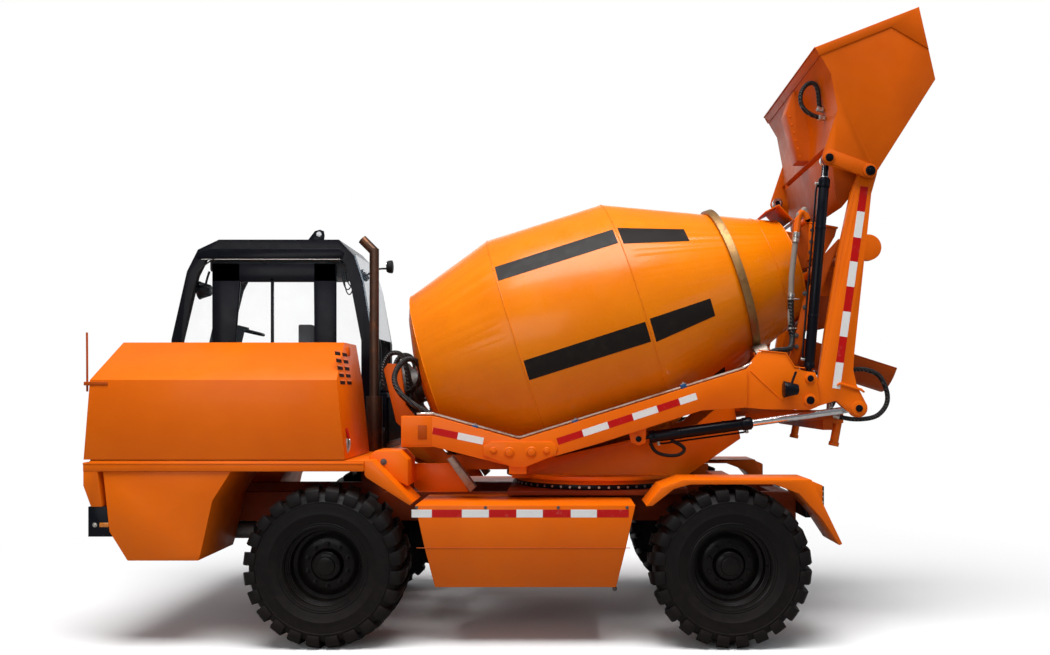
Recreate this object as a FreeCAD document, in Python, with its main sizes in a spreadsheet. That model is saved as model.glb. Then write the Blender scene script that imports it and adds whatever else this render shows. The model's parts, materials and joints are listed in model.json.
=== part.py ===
import FreeCAD, Part
import math
import os
import Sketcher
from FreeCAD import Placement, Rotation, Vector

# A self-loading concrete mixer: a four-wheel carrier with cab and hood, and a slewing
# upper frame with the drum, the loading arms and the bucket.
# X runs from the nose (-X) to the bucket end (+X), Y to the machine's right, Z up from
# the ground.  The origin is on the ground under the middle of the machine.
# All sizes are millimetres and degrees.

doc = FreeCAD.newDocument("ConcreteMixer")
sheet = doc.addObject("Spreadsheet::Sheet", "Sizes")


class Size:
    """A length or angle that remembers the sheet formula it comes from."""

    def __init__(self, value, formula=None):
        self.value = float(value)
        self.formula = formula or repr(float(value))

    def __add__(self, other):
        other = size(other)
        return Size(self.value + other.value, f"({self.formula} + {other.formula})")

    def __sub__(self, other):
        other = size(other)
        return Size(self.value - other.value, f"({self.formula} - {other.formula})")

    def __mul__(self, other):
        other = size(other)
        return Size(self.value * other.value, f"({self.formula} * {other.formula})")

    def __truediv__(self, other):
        other = size(other)
        return Size(self.value / other.value, f"({self.formula} / {other.formula})")

    def __radd__(self, other):
        return size(other) + self

    def __rsub__(self, other):
        return size(other) - self

    def __rmul__(self, other):
        return size(other) * self

    def __neg__(self):
        return Size(-self.value, f"(0 - {self.formula})")


def size(number):
    """Any plain number as a Size."""
    if isinstance(number, Size):
        return number
    return Size(number)


def sine(angle):
    angle = size(angle)
    return Size(math.sin(math.radians(angle.value)), f"sin({angle.formula})")


def cosine(angle):
    angle = size(angle)
    return Size(math.cos(math.radians(angle.value)), f"cos({angle.formula})")


class Table:
    """The driving sizes, each one a named cell of the sheet."""

    def __init__(self):
        self.row = 0

    def cell(self, name, value):
        self.row += 1
        sheet.set(f"A{self.row}", str(value))
        sheet.setAlias(f"A{self.row}", name)
        setattr(self, name, Size(value, f"Sizes.{name}"))


dims = Table()
for name, value in (
    # running gear
    ("wheelBase", 2695),
    ("frontAxleX", -1270),
    ("halfTrack", 947.5),
    ("tyreRadius", 537.5),
    ("tyreWidth", 405),
    ("beadRadius", 254),
    ("rimFlange", 285),
    ("rimWall", 14),
    ("hubRadius", 150),
    ("spindleRadius", 55),
    ("kingpinY", 660),
    ("kingpinRadius", 32),
    ("yokeHeight", 150),
    ("axleRadius", 75),
    ("diffRadius", 165),
    ("rimHalf", 179),
    ("tyreLip", 18),
    ("shoulder", 42),
    ("discLow", 40),
    ("discThick", 18),
    ("hubInner", 85),
    ("hubOuter", 120),
    ("hubTaper", 40),
    ("spindleEnd", 50),
    ("yokeEar", 28),
    ("yokeBack", 560),
    ("knuckleWall", 22),
    ("brakeStart", 745),
    ("brakeRadius", 140),
    # clearances
    ("seatGap", 0.3),
    ("pinGap", 0.3),
    ("moveGap", 6),
    # chassis
    ("railOuter", 430),
    ("railWidth", 90),
    ("railTop", 965),
    ("railHeight", 205),
    ("railFront", -2690),
    ("railRear", 2010),
    ("crossWidth", 120),
    ("deckTop", 1245),
    ("deckThick", 72),
    ("deckFront", -2852),
    ("deckRear", -1000),
    ("deckHalf", 1120),
    ("postLength", 160),
    ("crossDrop", 25),
    ("towReach", 120),
    ("towPlace", 75),
    ("towHalf", 65),
    ("towThick", 25),
    ("towBore", 21),
    ("slewX", 567),
    ("bedTop", 1000),
    ("bedHalf", 650),
    ("bedCorner", 190),
    ("noseReach", 96),
    ("noseSlope", 30),
    ("noseDrop", 233),
    ("tankOuter", 1110),
    ("frontTankGap", 609),
    ("frontTankBase", 583),
    ("sideTankSlope", 124),
    ("sideTankTuck", 60),
    ("sideTankTop", 950),
    ("sideTankFront", -666),
    ("sideTankRear", 790),
    ("sideTankFold", 668),
    ("sideTankBase", 396),
    ("fenderTop", 1122),
    ("fenderLip", 32),
    ("fenderOuter", 1148),
    # hood and engine
    ("hoodFront", -2848),
    ("hoodRear", -1128),
    ("hoodLean", 70),
    ("hoodInner", -300),
    ("hoodCrease", 1777),
    ("hoodTop", 2045),
    ("hoodShoulder", 690),
    ("hoodWall", 22),
    ("hingeRadius", 12),
    ("hingeLift", 25),
    ("hingeWall", 1.8),
    ("hingeEar", 40),
    ("hingeSpread", 280),
    # cab
    ("cabNear", 200),
    ("cabFar", 1100),
    ("cabFront", -2805),
    ("cabRear", -1204),
    ("cabRoof", 2907),
    ("cabWall", 42),
    ("cabSill", 2110),
    ("cabFrame", 88),
    ("glassThick", 6),
    ("glassInset", 18),
    ("screenSill", 1500),
    ("doorHigh", 1500),
    ("doorStep", 60),
    ("doorFrame", 64),
    ("seatX", -1760),
    ("seatWidth", 480),
    ("columnSlope", 76),
    ("columnLength", 930),
    ("steerRadius", 185),
    ("exhaustX", -1130),
    ("exhaustY", -100),
    ("exhaustTop", 2790),
    ("airRadius", 64),
    ("airInset", 12),
    ("columnRadius", 32),
    ("deckStep", 12),
    ("deckStepLong", 40),
    ("rodTongue", 115),
    # slewing ring
    ("ringInner", 500),
    ("ringOuter", 620),
    ("ringSplit", 1035),
    ("turretFloor", 1070),
    ("turretPlate", 28),
    ("turretRadius", 690),
    ("webInner", 410),
    ("webThick", 45),
    # drum, in its own frame along its axis
    ("drumSlope", 17.6),
    ("drumX", 1207),
    ("drumZ", 2383),
    ("drumWall", 8),
    ("drumRadius", 895),
    ("tailRadius", 670),
    ("tailEnd", -1944),
    ("tailDish", 126),
    ("rearSeam", -1267),
    ("frontSeam", -363),
    ("mouthRadius", 380),
    ("mouthEnd", 883),
    ("ringStart", 374),
    ("ringWidth", 57),
    ("trackRadius", 615),
    ("gearRadius", 190),
    ("gearLength", 150),
    ("tailPlate", 20),
    ("rollerRadius", 90),
    ("rollerLength", 96),
    ("rollerAngle", 35),
    ("rollerShaft", 25),
    ("rollerPlate", 12),
    ("rollerPlay", 2),
    ("standHeight", 300),
    # frame beams
    ("beamX", 1560),
    ("beamWidth", 370),
    ("beamLow", 1560),
    ("beamDeep", 140),
    ("rearBeamX", 2206),
    ("runnerY", 640),
    # loader frame
    ("beamInner", 720),
    ("beamOuter", 850),
    ("blockX", -800),
    ("blockLong", 212),
    ("blockTop", 1532),
    ("bendX", 8),
    ("bendTop", 1367),
    ("forkX", 1576),
    ("forkTop", 1855),
    ("forkLow", 1590),
    ("forkLobe", 66),
    ("forkPlate", 18),
    ("forkOuter", 830),
    ("loaderInner", 716),
    ("armX", 2013),
    ("armZ", 1640),
    ("tiltZ", 1790),
    ("liftX", 833),
    ("liftZ", 1372),
    ("armMiddle", 772),
    ("armPin", 30),
    ("smallPin", 20),
    ("eyeThick", 24),
    ("lugPlate", 13),
    # arms, cylinders and bucket
    ("armInner", 745),
    ("armThick", 54),
    ("armEye", 62),
    ("headEye", 65),
    ("heelX", 2356),
    ("heelZ", 1584),
    ("heelPlate", 10),
    ("lobeRadius", 90),
    ("crossTube", 72),
    ("bossRadius", 38),
    ("liftRadius", 40),
    ("liftRod", 25),
    ("liftSleeve", 790),
    ("tiltRadius", 36),
    ("tiltRod", 22),
    ("tiltSleeve", 1390),
    ("pinX", 2418),
    ("pinZ", 3215),
    ("earRun", -281),
    ("earRise", 89),
    ("earStub", 14),
    ("headOut", 12),
    ("bucketHalf", 850),
    ("bucketWall", 10),
    ("cheekThick", 15),
    ("gateHalf", 690),
    ("gatePin", 14),
    ("guardHalf", 90),
    # hopper, funnel and chute
    ("sheetWall", 8),
    ("hopperTop", 2985),
    ("hopperHalf", 250),
    ("postY", 560),
    ("postThick", 30),
    ("chuteX", 2195),
    ("chuteZ", 2080),
    ("chuteSlope", 17.7),
    ("chuteRadius", 190),
    ("chuteLength", 740),
    ("chuteArm", 1700),
    ("chutePin", 30),
    # motor, pipes and hoses
    ("motorRadius", 90),
    ("motorLength", 90),
    ("motorHoseY", 230),
    ("hoseRadius", 16),
    ("pipeRadius", 7),
    ("pipeY", 752),
    ("pipeStep", 30),
    ("heelHoseRadius", 14),
    ("waterRadius", 20),
    ("bucketHoseY", 560),
    ("bucketHoseRadius", 14),
    ("lampBeam", 40),
    ("lampDeep", 50),
    ("lampSpan", 700),
    ("lampInner", 540),
    ("lampWide", 150),
    ("lampHigh", 120),
    ("lampDrop", 30),
    ("notchGap", 0.5),
    ("runnerWide", 60),
    ("funnelEdge", 25),
):
    dims.cell(name, value)


def bind(thing, name, value):
    """Ties a property of a thing to a size's formula."""
    thing.setExpression(name, size(value).formula)


def place(thing, x=0, y=0, z=0, axis=None, angle=0):
    """Moves a thing, and turns it about an axis, by formula."""
    if axis is not None:
        turn = Rotation(Vector(*axis), size(angle).value)
        thing.Placement = Placement(Vector(), turn)
        bind(thing, "Placement.Rotation.Angle", angle)
    for letter, value in zip("xyz", (x, y, z)):
        bind(thing, f"Placement.Base.{letter}", value)
    return thing


def box(name, x, y, z):
    """A block between low and high sizes on each axis."""
    piece = doc.addObject("Part::Box", name)
    for side, (low, high) in zip(("Length", "Width", "Height"), (x, y, z)):
        bind(piece, side, size(high) - low)
    return place(piece, x[0], y[0], z[0])


ALONG = {"x": ((0, 1, 0), 90), "y": ((-1, 0, 0), 90), "z": ((0, 0, 1), 0)}


def rod(name, along, start, radius, length):
    """A round bar from the middle of its low end along one axis."""
    piece = doc.addObject("Part::Cylinder", name)
    bind(piece, "Radius", radius)
    bind(piece, "Height", length)
    axis, angle = ALONG[along]
    return place(piece, *start, axis=axis, angle=angle)


def leaning_rod(name, start, slope, radius, length):
    """A round bar that rises at a slope from +X in the plane of X and Z."""
    piece = doc.addObject("Part::Cylinder", name)
    bind(piece, "Radius", radius)
    bind(piece, "Height", length)
    return place(piece, *start, axis=(0, 1, 0), angle=90 - size(slope))


def fuse(name, *pieces):
    joined = doc.addObject("Part::MultiFuse", name)
    joined.Shapes = list(pieces)
    return joined


def cut(name, base, *tools):
    """The base with every tool cut from it."""
    for number, tool in enumerate(tools):
        step = doc.addObject("Part::Cut", name if number == len(tools) - 1 else f"{name}_cut{number}")
        step.Base = base
        step.Tool = tool
        base = step
    return base


def common(name, first, second):
    shared = doc.addObject("Part::Common", name)
    shared.Base = first
    shared.Tool = second
    return shared


def group(name, *pieces):
    """Like pieces that don't touch, in one sub-part."""
    together = doc.addObject("Part::Compound", name)
    together.Links = list(pieces)
    return together


def mirrored(piece):
    """The same piece on the machine's other side."""
    twin = doc.addObject("Part::Mirroring", f"{piece.Name}_twin")
    twin.Source = piece
    twin.Normal = (0, 1, 0)
    return twin


def both_sides(name, piece):
    return group(name, piece, mirrored(piece))


def outline_sketch(body, plane, outline, offset):
    """A closed outline of straight edges on a plane of the body, every corner bound."""
    sketch = body.newObject("Sketcher::SketchObject", f"{body.Name}_outline")
    support = [item for item in body.Origin.OriginFeatures if item.Role == f"{plane}_Plane"]
    sketch.AttachmentSupport = [(support[0], "")]
    sketch.MapMode = "FlatFace"
    bind(sketch, "AttachmentOffset.Base.z", offset)
    corners = [(size(u), size(v)) for u, v in outline]
    for number, (u, v) in enumerate(corners):
        after = corners[(number + 1) % len(corners)]
        start = Vector(u.value, v.value, 0)
        end = Vector(after[0].value, after[1].value, 0)
        sketch.addGeometry(Part.LineSegment(start, end), False)
    for number in range(len(corners)):
        after = (number + 1) % len(corners)
        sketch.addConstraint(Sketcher.Constraint("Coincident", number, 2, after, 1))
    for number, (u, v) in enumerate(corners):
        for kind, value in (("DistanceX", u), ("DistanceY", v)):
            rule = Sketcher.Constraint(kind, -1, 1, number, 1, value.value)
            index = sketch.addConstraint(rule)
            sketch.setExpression(f"Constraints[{index}]", value.formula)
    return sketch


def plate(name, plane, outline, low, high):
    """A flat plate: an outline in XZ, XY or YZ, padded from low to high across it."""
    body = doc.addObject("PartDesign::Body", name)
    # the XZ plane faces -Y, so its pad starts at the high side
    offset = -size(high) if plane == "XZ" else size(low)
    sketch = outline_sketch(body, plane, outline, offset)
    pad = body.newObject("PartDesign::Pad", f"{name}_pad")
    pad.Profile = sketch
    bind(pad, "Length", size(high) - low)
    return body


def turned(name, outline, x=0, y=0, z=0, axis=None, angle=0):
    """A body of revolution: an outline of (radius, height) about the body's own Z."""
    body = doc.addObject("PartDesign::Body", name)
    sketch = outline_sketch(body, "XZ", outline, 0)
    spin = body.newObject("PartDesign::Revolution", f"{name}_spin")
    spin.Profile = sketch
    spin.ReferenceAxis = (sketch, ["V_Axis"])
    spin.Angle = 360
    return place(body, x, y, z, axis, angle)


def inset(outline, signs, amount):
    """An outline whose corners move inwards by an amount along their own signs."""
    return [(u + su * amount, v + sv * amount) for (u, v), (su, sv) in zip(outline, signs)]


nodes = []


def node(name, piece):
    """Names a finished sub-part."""
    piece.Label = name
    nodes.append(piece)
    return piece


def tyre_outline():
    """Half the tyre's section, doubled: bead, sidewall, shoulder and tread."""
    half = dims.tyreWidth / 2
    bead = dims.rimHalf - dims.rimWall - dims.seatGap
    seat = dims.beadRadius + dims.seatGap
    side = [
        (seat, bead),
        (dims.rimFlange + dims.tyreLip, bead),
        (dims.rimFlange + dims.tyreLip * 3, half - dims.tyreLip / 2),
        (dims.tyreRadius - dims.shoulder * 2.5, half),
        (dims.tyreRadius - dims.shoulder, half - dims.tyreLip),
        (dims.tyreRadius, half - dims.shoulder),
    ]
    return side + [(radius, -height) for radius, height in reversed(side)]


def rim_outline():
    """The rim's section: hub with its blind bore, disc, barrel and two flanges."""
    inner = dims.beadRadius - dims.rimWall
    outer = dims.rimHalf
    flange = outer - dims.rimWall
    disc = dims.discLow + dims.discThick
    bore = dims.spindleRadius + dims.pinGap
    return [
        (bore, -dims.hubInner),
        (dims.hubRadius, -dims.hubInner),
        (dims.hubRadius, dims.discLow),
        (inner, dims.discLow),
        (inner, -outer),
        (dims.rimFlange, -outer),
        (dims.rimFlange, -flange),
        (dims.beadRadius, -flange),
        (dims.beadRadius, flange),
        (dims.rimFlange, flange),
        (dims.rimFlange, outer),
        (inner, outer),
        (inner, disc),
        (dims.hubRadius, disc),
        (dims.hubRadius, dims.hubOuter - dims.hubTaper),
        (dims.hubRadius - dims.hubTaper, dims.hubOuter),
        (0, dims.hubOuter),
        (0, dims.spindleEnd + dims.moveGap),
        (bore, dims.spindleEnd + dims.moveGap),
    ]


def wheel(name, axle_x, side):
    """A tyre and its rim; side is 1 on the machine's right and -1 on its left."""
    turn = (-side, 0, 0)
    middle = (axle_x, dims.halfTrack * side, dims.tyreRadius)
    node(f"{name}_tyre", turned(f"{name}_tyre_ring", tyre_outline(), *middle, axis=turn, angle=90))
    node(f"{name}_rim", turned(f"{name}_rim_ring", rim_outline(), *middle, axis=turn, angle=90))


def knuckle(name, axle_x, side):
    """The steered carrier of a wheel: kingpin block, brake housing and spindle."""
    y, z = dims.kingpinY, dims.tyreRadius
    reach = dims.yokeHeight - dims.yokeEar - dims.moveGap
    half = dims.kingpinRadius + dims.knuckleWall
    face = dims.halfTrack - dims.hubInner - dims.moveGap
    end = dims.halfTrack + dims.spindleEnd
    block = box(f"{name}_block", (axle_x - half, axle_x + half), (y - half, y + half), (z - reach, z + reach))
    pin = rod(f"{name}_pin", "z", (axle_x, y, z - dims.yokeHeight), dims.kingpinRadius, dims.yokeHeight * 2)
    neck = rod(f"{name}_neck", "y", (axle_x, y, z), reach * 0.9, dims.brakeStart - y)
    brake = rod(f"{name}_brake", "y", (axle_x, dims.brakeStart, z), dims.brakeRadius, face - dims.brakeStart)
    spindle = rod(f"{name}_spindle", "y", (axle_x, y, z), dims.spindleRadius, end - y)
    whole = fuse(f"{name}_whole", block, pin, neck, brake, spindle)
    node(name, whole if side > 0 else mirrored(whole))


def axle(name, axle_x):
    """A drive axle: housing with its bulge, forked ends and pads up to the rails."""
    end = dims.yokeBack
    bulge = dims.diffRadius
    outline = [
        (0, -end),
        (dims.axleRadius, -end),
        (dims.axleRadius, -bulge * 1.5),
        (bulge, -bulge * 0.6),
        (bulge, bulge * 0.6),
        (dims.axleRadius, bulge * 1.5),
        (dims.axleRadius, end),
        (0, end),
    ]
    z = dims.tyreRadius
    housing = turned(f"{name}_housing", outline, axle_x, 0, z, axis=(-1, 0, 0), angle=90)
    half = dims.kingpinRadius + dims.knuckleWall
    wide = (axle_x - half, axle_x + half)
    tip = dims.kingpinY + half / 2
    back = box(f"{name}_back", wide, (end - dims.yokeEar, end), (z - dims.yokeHeight, z + dims.yokeHeight))
    upper = box(f"{name}_upper", wide, (end, tip), (z + dims.yokeHeight - dims.yokeEar, z + dims.yokeHeight))
    lower = box(f"{name}_lower", wide, (end, tip), (z - dims.yokeHeight, z - dims.yokeHeight + dims.yokeEar))
    pad = box(f"{name}_pad", wide, (dims.railOuter - dims.railWidth, dims.railOuter),
              (z, dims.railTop - dims.railHeight))
    fork = fuse(f"{name}_fork", back, upper, lower, pad)
    bore = rod(f"{name}_bore", "z", (axle_x, dims.kingpinY, z - dims.yokeHeight - 1),
               dims.kingpinRadius + dims.pinGap, dims.yokeHeight * 2 + 2)
    side = cut(f"{name}_side", fork, bore)
    node(name, fuse(f"{name}_whole", housing, side, mirrored(side)))


def chassis_frame():
    """Two rails, their cross members, the deck's posts, towing eyes and the slewing ring's bed."""
    low = dims.railTop - dims.railHeight
    inner = dims.railOuter - dims.railWidth
    rail = box("rail", (dims.railFront, dims.railRear), (inner, dims.railOuter), (low, dims.railTop))
    pieces = [rail, mirrored(rail)]
    upright = (dims.railTop, dims.deckTop - dims.deckThick)
    for number, x in enumerate((dims.railFront, dims.deckRear - dims.postLength)):
        post = box(f"post{number}", (x, x + dims.postLength), (inner, dims.railOuter), upright)
        pieces += [post, mirrored(post)]
    span = dims.railRear - dims.railFront - dims.crossWidth
    for number in range(6):
        x = dims.railFront + span * number / 5
        pieces.append(box(f"cross{number}", (x, x + dims.crossWidth), (-inner, inner),
                          (low + dims.crossDrop, dims.railTop - dims.crossDrop)))
    tow = low + dims.crossDrop
    for number, (x, middle) in enumerate(((dims.railFront - dims.towReach, dims.railFront - dims.towPlace),
                                          (dims.railRear - 20, dims.railRear + dims.towPlace))):
        tongue = box(f"tow_plate{number}", (x, x + dims.towReach + 20), (-dims.towHalf, dims.towHalf),
                     (tow, tow + dims.towThick))
        hole = rod(f"tow_bore{number}", "z", (middle, 0, tow - 1), dims.towBore, dims.towThick + 2)
        pieces.append(cut(f"tow_eye{number}", tongue, hole))
    bed = [
        (dims.slewX - dims.bedHalf, -dims.bedHalf),
        (dims.slewX + dims.bedHalf - dims.bedCorner, -dims.bedHalf),
        (dims.slewX + dims.bedHalf, -dims.bedHalf + dims.bedCorner),
        (dims.slewX + dims.bedHalf, dims.bedHalf - dims.bedCorner),
        (dims.slewX + dims.bedHalf - dims.bedCorner, dims.bedHalf),
        (dims.slewX - dims.bedHalf, dims.bedHalf),
    ]
    node("ring_bed", plate("bed", "XY", bed, dims.railTop, dims.bedTop))
    node("chassis_frame", fuse("frame_whole", *pieces))


def front_deck():
    """The deck under hood and cab, with its folded nose."""
    under = dims.deckTop - dims.deckThick
    nose = dims.deckFront + dims.noseReach
    outline = [
        (dims.deckFront, dims.deckTop - dims.deckStep),
        (dims.deckFront + dims.deckStepLong, dims.deckTop - dims.deckStep),
        (dims.deckFront + dims.deckStepLong, dims.deckTop),
        (dims.deckRear, dims.deckTop),
        (dims.deckRear, under),
        (nose, under),
        (nose + dims.noseSlope, under - dims.noseDrop),
        (nose - dims.noseSlope * 1.5, under - dims.noseDrop),
        (dims.deckFront, under - dims.noseDrop * 0.4),
    ]
    deck = plate("deck_plate", "XZ", outline, -dims.deckHalf, dims.deckHalf)
    node("front_deck", cut("deck_whole", deck, *deck_hinge_slots()))


def deck_hinge_slots():
    """Room in the deck's front edge for the hood's hinge ears."""
    slots = []
    for number, y in enumerate(hinge_places()):
        slots.append(box(f"deck_slot{number}",
                         (dims.deckFront - 1, dims.hoodFront + dims.hingeRadius * 3),
                         (y - dims.hingeEar, y + dims.hingeEar),
                         (dims.deckTop - dims.hingeRadius, dims.deckTop + 1)))
    return slots


def hinge_places():
    """The two places along the hood's width where its hinge ears are."""
    middle = (dims.hoodInner - dims.deckHalf) / 2
    return middle - dims.hingeSpread, middle + dims.hingeSpread


def front_tanks():
    """Two boxes under the deck, ahead of the front wheels."""
    top = dims.deckTop - dims.deckThick
    nose = dims.deckFront + dims.noseReach
    rear = dims.frontAxleX - dims.frontTankGap
    outline = [
        (nose + dims.noseSlope, top),
        (rear, top),
        (rear - 124, top - 195),
        (rear - 203, dims.frontTankBase + 40),
        (rear - 216, dims.frontTankBase),
        (nose + dims.noseSlope + 161, dims.frontTankBase),
        (nose + dims.noseSlope + 42, dims.frontTankBase + 192),
    ]
    tank = plate("front_tank", "XZ", outline, dims.railOuter, dims.tankOuter)
    node("front_tanks", both_sides("front_tank_pair", tank))
    return tank


def side_tanks():
    """The two long boxes between the wheels, folded in towards the bottom."""
    slope = dims.sideTankSlope
    along = [
        (dims.sideTankFront, dims.sideTankTop),
        (dims.sideTankRear, dims.sideTankTop),
        (dims.sideTankRear - slope, dims.sideTankBase),
        (dims.sideTankFront + slope, dims.sideTankBase),
    ]
    across = [
        (dims.railOuter, dims.sideTankBase),
        (dims.tankOuter - dims.sideTankTuck, dims.sideTankBase),
        (dims.tankOuter, dims.sideTankFold),
        (dims.tankOuter, dims.sideTankTop),
        (dims.railOuter, dims.sideTankTop),
    ]
    length = plate("side_tank_length", "XZ", along, dims.railOuter, dims.tankOuter)
    section = plate("side_tank_section", "YZ", across, dims.sideTankFront, dims.sideTankRear)
    tank = common("side_tank", length, section)
    node("side_tanks", both_sides("side_tank_pair", tank))


def rear_fenders():
    """Folded guards over the rear wheels, each on an arm and a post from its rail."""
    x = dims.frontAxleX + dims.wheelBase
    top = dims.fenderTop
    low = top - dims.fenderLip
    outline = [
        (x - 566, 947),
        (x - 470, top - 52),
        (x - 325, top),
        (x + 518, top),
        (x + 720, 700),
        (x + 700, 690),
        (x + 585, 865),
        (x + 435, 1030),
        (x + 275, low),
        (x - 275, low),
        (x - 385, 1060),
        (x - 525, 950),
    ]
    inner = dims.halfTrack - dims.tyreWidth / 2
    guard = plate("rear_guard", "XZ", outline, inner, dims.fenderOuter)
    arm = box("rear_guard_arm", (x - 60, x + 60), (dims.railOuter, inner + 1), (low, top - 6))
    post = box("rear_guard_post", (x - 60, x + 60), (dims.railOuter - dims.railWidth, dims.railOuter),
               (dims.railTop, top - 6))
    node("rear_fenders", both_sides("rear_guard_pair", fuse("rear_guard_whole", guard, arm, post)))


def front_mudguards():
    """Slanted plates behind the front wheels, on the deck's rear edge."""
    rear = dims.deckRear
    outline = [
        (rear, dims.deckTop),
        (rear + 50, dims.deckTop),
        (rear + 320, dims.deckTop - 277),
        (rear + 300, dims.deckTop - 297),
        (rear + 15, dims.deckTop - 115),
        (rear, dims.deckTop - 95),
    ]
    inner = dims.halfTrack - dims.tyreWidth / 2
    guard = plate("front_guard", "XZ", outline, inner, dims.tankOuter)
    node("front_mudguards", both_sides("front_guard_pair", guard))


def hood_outline(amount):
    """The hood's section across the machine, moved inwards by an amount."""
    base = dims.deckTop + dims.moveGap
    corners = [
        (-dims.deckHalf, base),
        (-dims.deckHalf, dims.hoodCrease),
        (-dims.hoodShoulder, dims.hoodTop),
        (dims.hoodInner, dims.hoodTop),
        (dims.hoodInner, base),
    ]
    signs = [(1, -1), (1, 0), (1, -1), (-1, -1), (-1, -1)]
    return inset(corners, signs, amount)


def hood_length(amount):
    """The hood's section along the machine, leaning in at both ends."""
    base = dims.deckTop + dims.moveGap
    front, rear, lean = dims.hoodFront, dims.hoodRear, dims.hoodLean
    corners = [
        (front, base),
        (rear, base),
        (rear - lean * 0.75, dims.hoodCrease),
        (rear - lean * 1.4, dims.hoodTop),
        (front + lean, dims.hoodTop),
        (front + lean * 0.6, dims.hoodCrease),
    ]
    signs = [(1, -1), (-1, -1), (-1, 0), (-1, -1), (1, -1), (1, 0)]
    return inset(corners, signs, amount)


def hood_solid(name, amount):
    across = plate(f"{name}_across", "YZ", hood_outline(amount), dims.hoodFront, dims.hoodRear)
    along = plate(f"{name}_along", "XZ", hood_length(amount), -dims.deckHalf, dims.hoodInner)
    return common(f"{name}_solid", across, along)


def engine_hood():
    """The hollow engine hood, hinged at its front edge, with an ear for each hinge."""
    shell = cut("hood_shell", hood_solid("hood_outside", size(0)), hood_solid("hood_inside", dims.hoodWall))
    x, z = hood_hinge()
    reach = dims.hingeRadius * 2
    ears = []
    for number, y in enumerate(hinge_places()):
        start, end = y - dims.hingeEar / 2, y + dims.hingeEar / 2
        ear = rod(f"hood_ear{number}", "y", (x, start, z), dims.hingeRadius * dims.hingeWall, dims.hingeEar)
        web = box(f"hood_web{number}", (x, x + reach), (start, end), (z, z + reach))
        ears += [ear, web]
    bores = []
    for number, y in enumerate(hinge_places()):
        bores.append(rod(f"hood_bore{number}", "y", (x, y - dims.hingeEar, z),
                         dims.hingeRadius + dims.pinGap, dims.hingeEar * 2))
    notches = []
    for number, y in enumerate(hinge_places()):
        for side in (-1, 1):
            middle = y + (dims.hingeEar + dims.notchGap) * side
            start, end = middle - dims.hingeEar / 2, middle + dims.hingeEar / 2
            notches.append(box(f"hood_notch{number}_{side + 1}", (dims.hoodFront - 1, x + reach), (start, end),
                               (dims.deckTop, z + reach)))
    whole = fuse("hood_with_ears", shell, *ears)
    node("engine_hood", cut("hood_whole", whole, *bores, *notches))


def hood_hinge():
    return dims.hoodFront + dims.hingeRadius * 1.8, dims.deckTop + dims.hingeLift


def hood_hinge_lugs():
    """The deck's hinge lugs and the pins that the hood's ears turn on."""
    x, z = hood_hinge()
    pieces = []
    for number, y in enumerate(hinge_places()):
        pin = rod(f"hinge_pin{number}", "y", (x, y - dims.hingeEar * 1.5 + 2, z), dims.hingeRadius,
                  dims.hingeEar * 3 - 4)
        lugs = []
        for side in (-1, 1):
            middle = y + dims.hingeEar * side
            lugs.append(box(f"hinge_lug{number}_{side + 1}",
                            (x - dims.hingeRadius, x + dims.hingeRadius),
                            (middle - dims.hingeEar / 2 + 3, middle + dims.hingeEar / 2 - 3),
                            (dims.deckTop - dims.deckStep, z + dims.hingeRadius)))
        pieces.append(fuse(f"hinge_set{number}", pin, *lugs))
    node("hood_hinges", group("hinge_sets", *pieces))


def engine_block():
    block = box("engine_mass", (dims.hoodFront + 400, dims.hoodRear - 380),
                (-dims.deckHalf + 200, dims.hoodInner - 170), (dims.deckTop, dims.hoodCrease + 30))
    node("engine_block", block)


CAB_SIGNS = [(1, 1), (1, -0.1), (1, -0.4), (0.8, -0.8), (0.4, -1), (-0.3, -1), (-0.8, -0.8), (-1, -0.4),
             (-1, -0.1), (-1, 1)]


def cab_outline(amount, floor):
    """The cab seen from its side, moved inwards by an amount, standing on a floor."""
    front, rear, roof, sill = dims.cabFront, dims.cabRear, dims.cabRoof, dims.cabSill
    corners = [
        (front, size(floor) - amount),
        (front + 5, sill),
        (front + 128, roof - 254),
        (front + 216, roof - 79),
        (front + 383, roof),
        (rear - 266, roof),
        (rear - 146, roof - 127),
        (rear - 83, roof - 333),
        (rear, sill),
        (rear, size(floor) - amount),
    ]
    return inset(corners, CAB_SIGNS, amount)


def cab_prism(name, amount, floor, low, high):
    return plate(name, "XZ", cab_outline(amount, floor), low, high)


def cab_windows():
    """The four openings in the cab: windscreen, back, near side and the door's way."""
    wall, frame = dims.cabWall, dims.cabFrame
    inside = (dims.cabNear + frame, dims.cabFar - frame)
    front = box("front_opening", (dims.cabFront - 1, dims.cabFront + 460), inside,
                (dims.screenSill, dims.cabRoof - frame * 1.2))
    back = box("back_opening", (dims.cabRear - 330, dims.cabRear + 1), inside,
               (dims.screenSill + 200, dims.cabRoof - frame * 2))
    near = cab_prism("near_opening", frame, dims.screenSill, dims.cabNear - 1, dims.cabNear + wall + 1)
    door = cab_prism("door_opening", frame, dims.deckTop + dims.doorStep, dims.cabFar - wall - 1,
                     dims.cabFar + 1)
    return front, back, near, door


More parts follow.
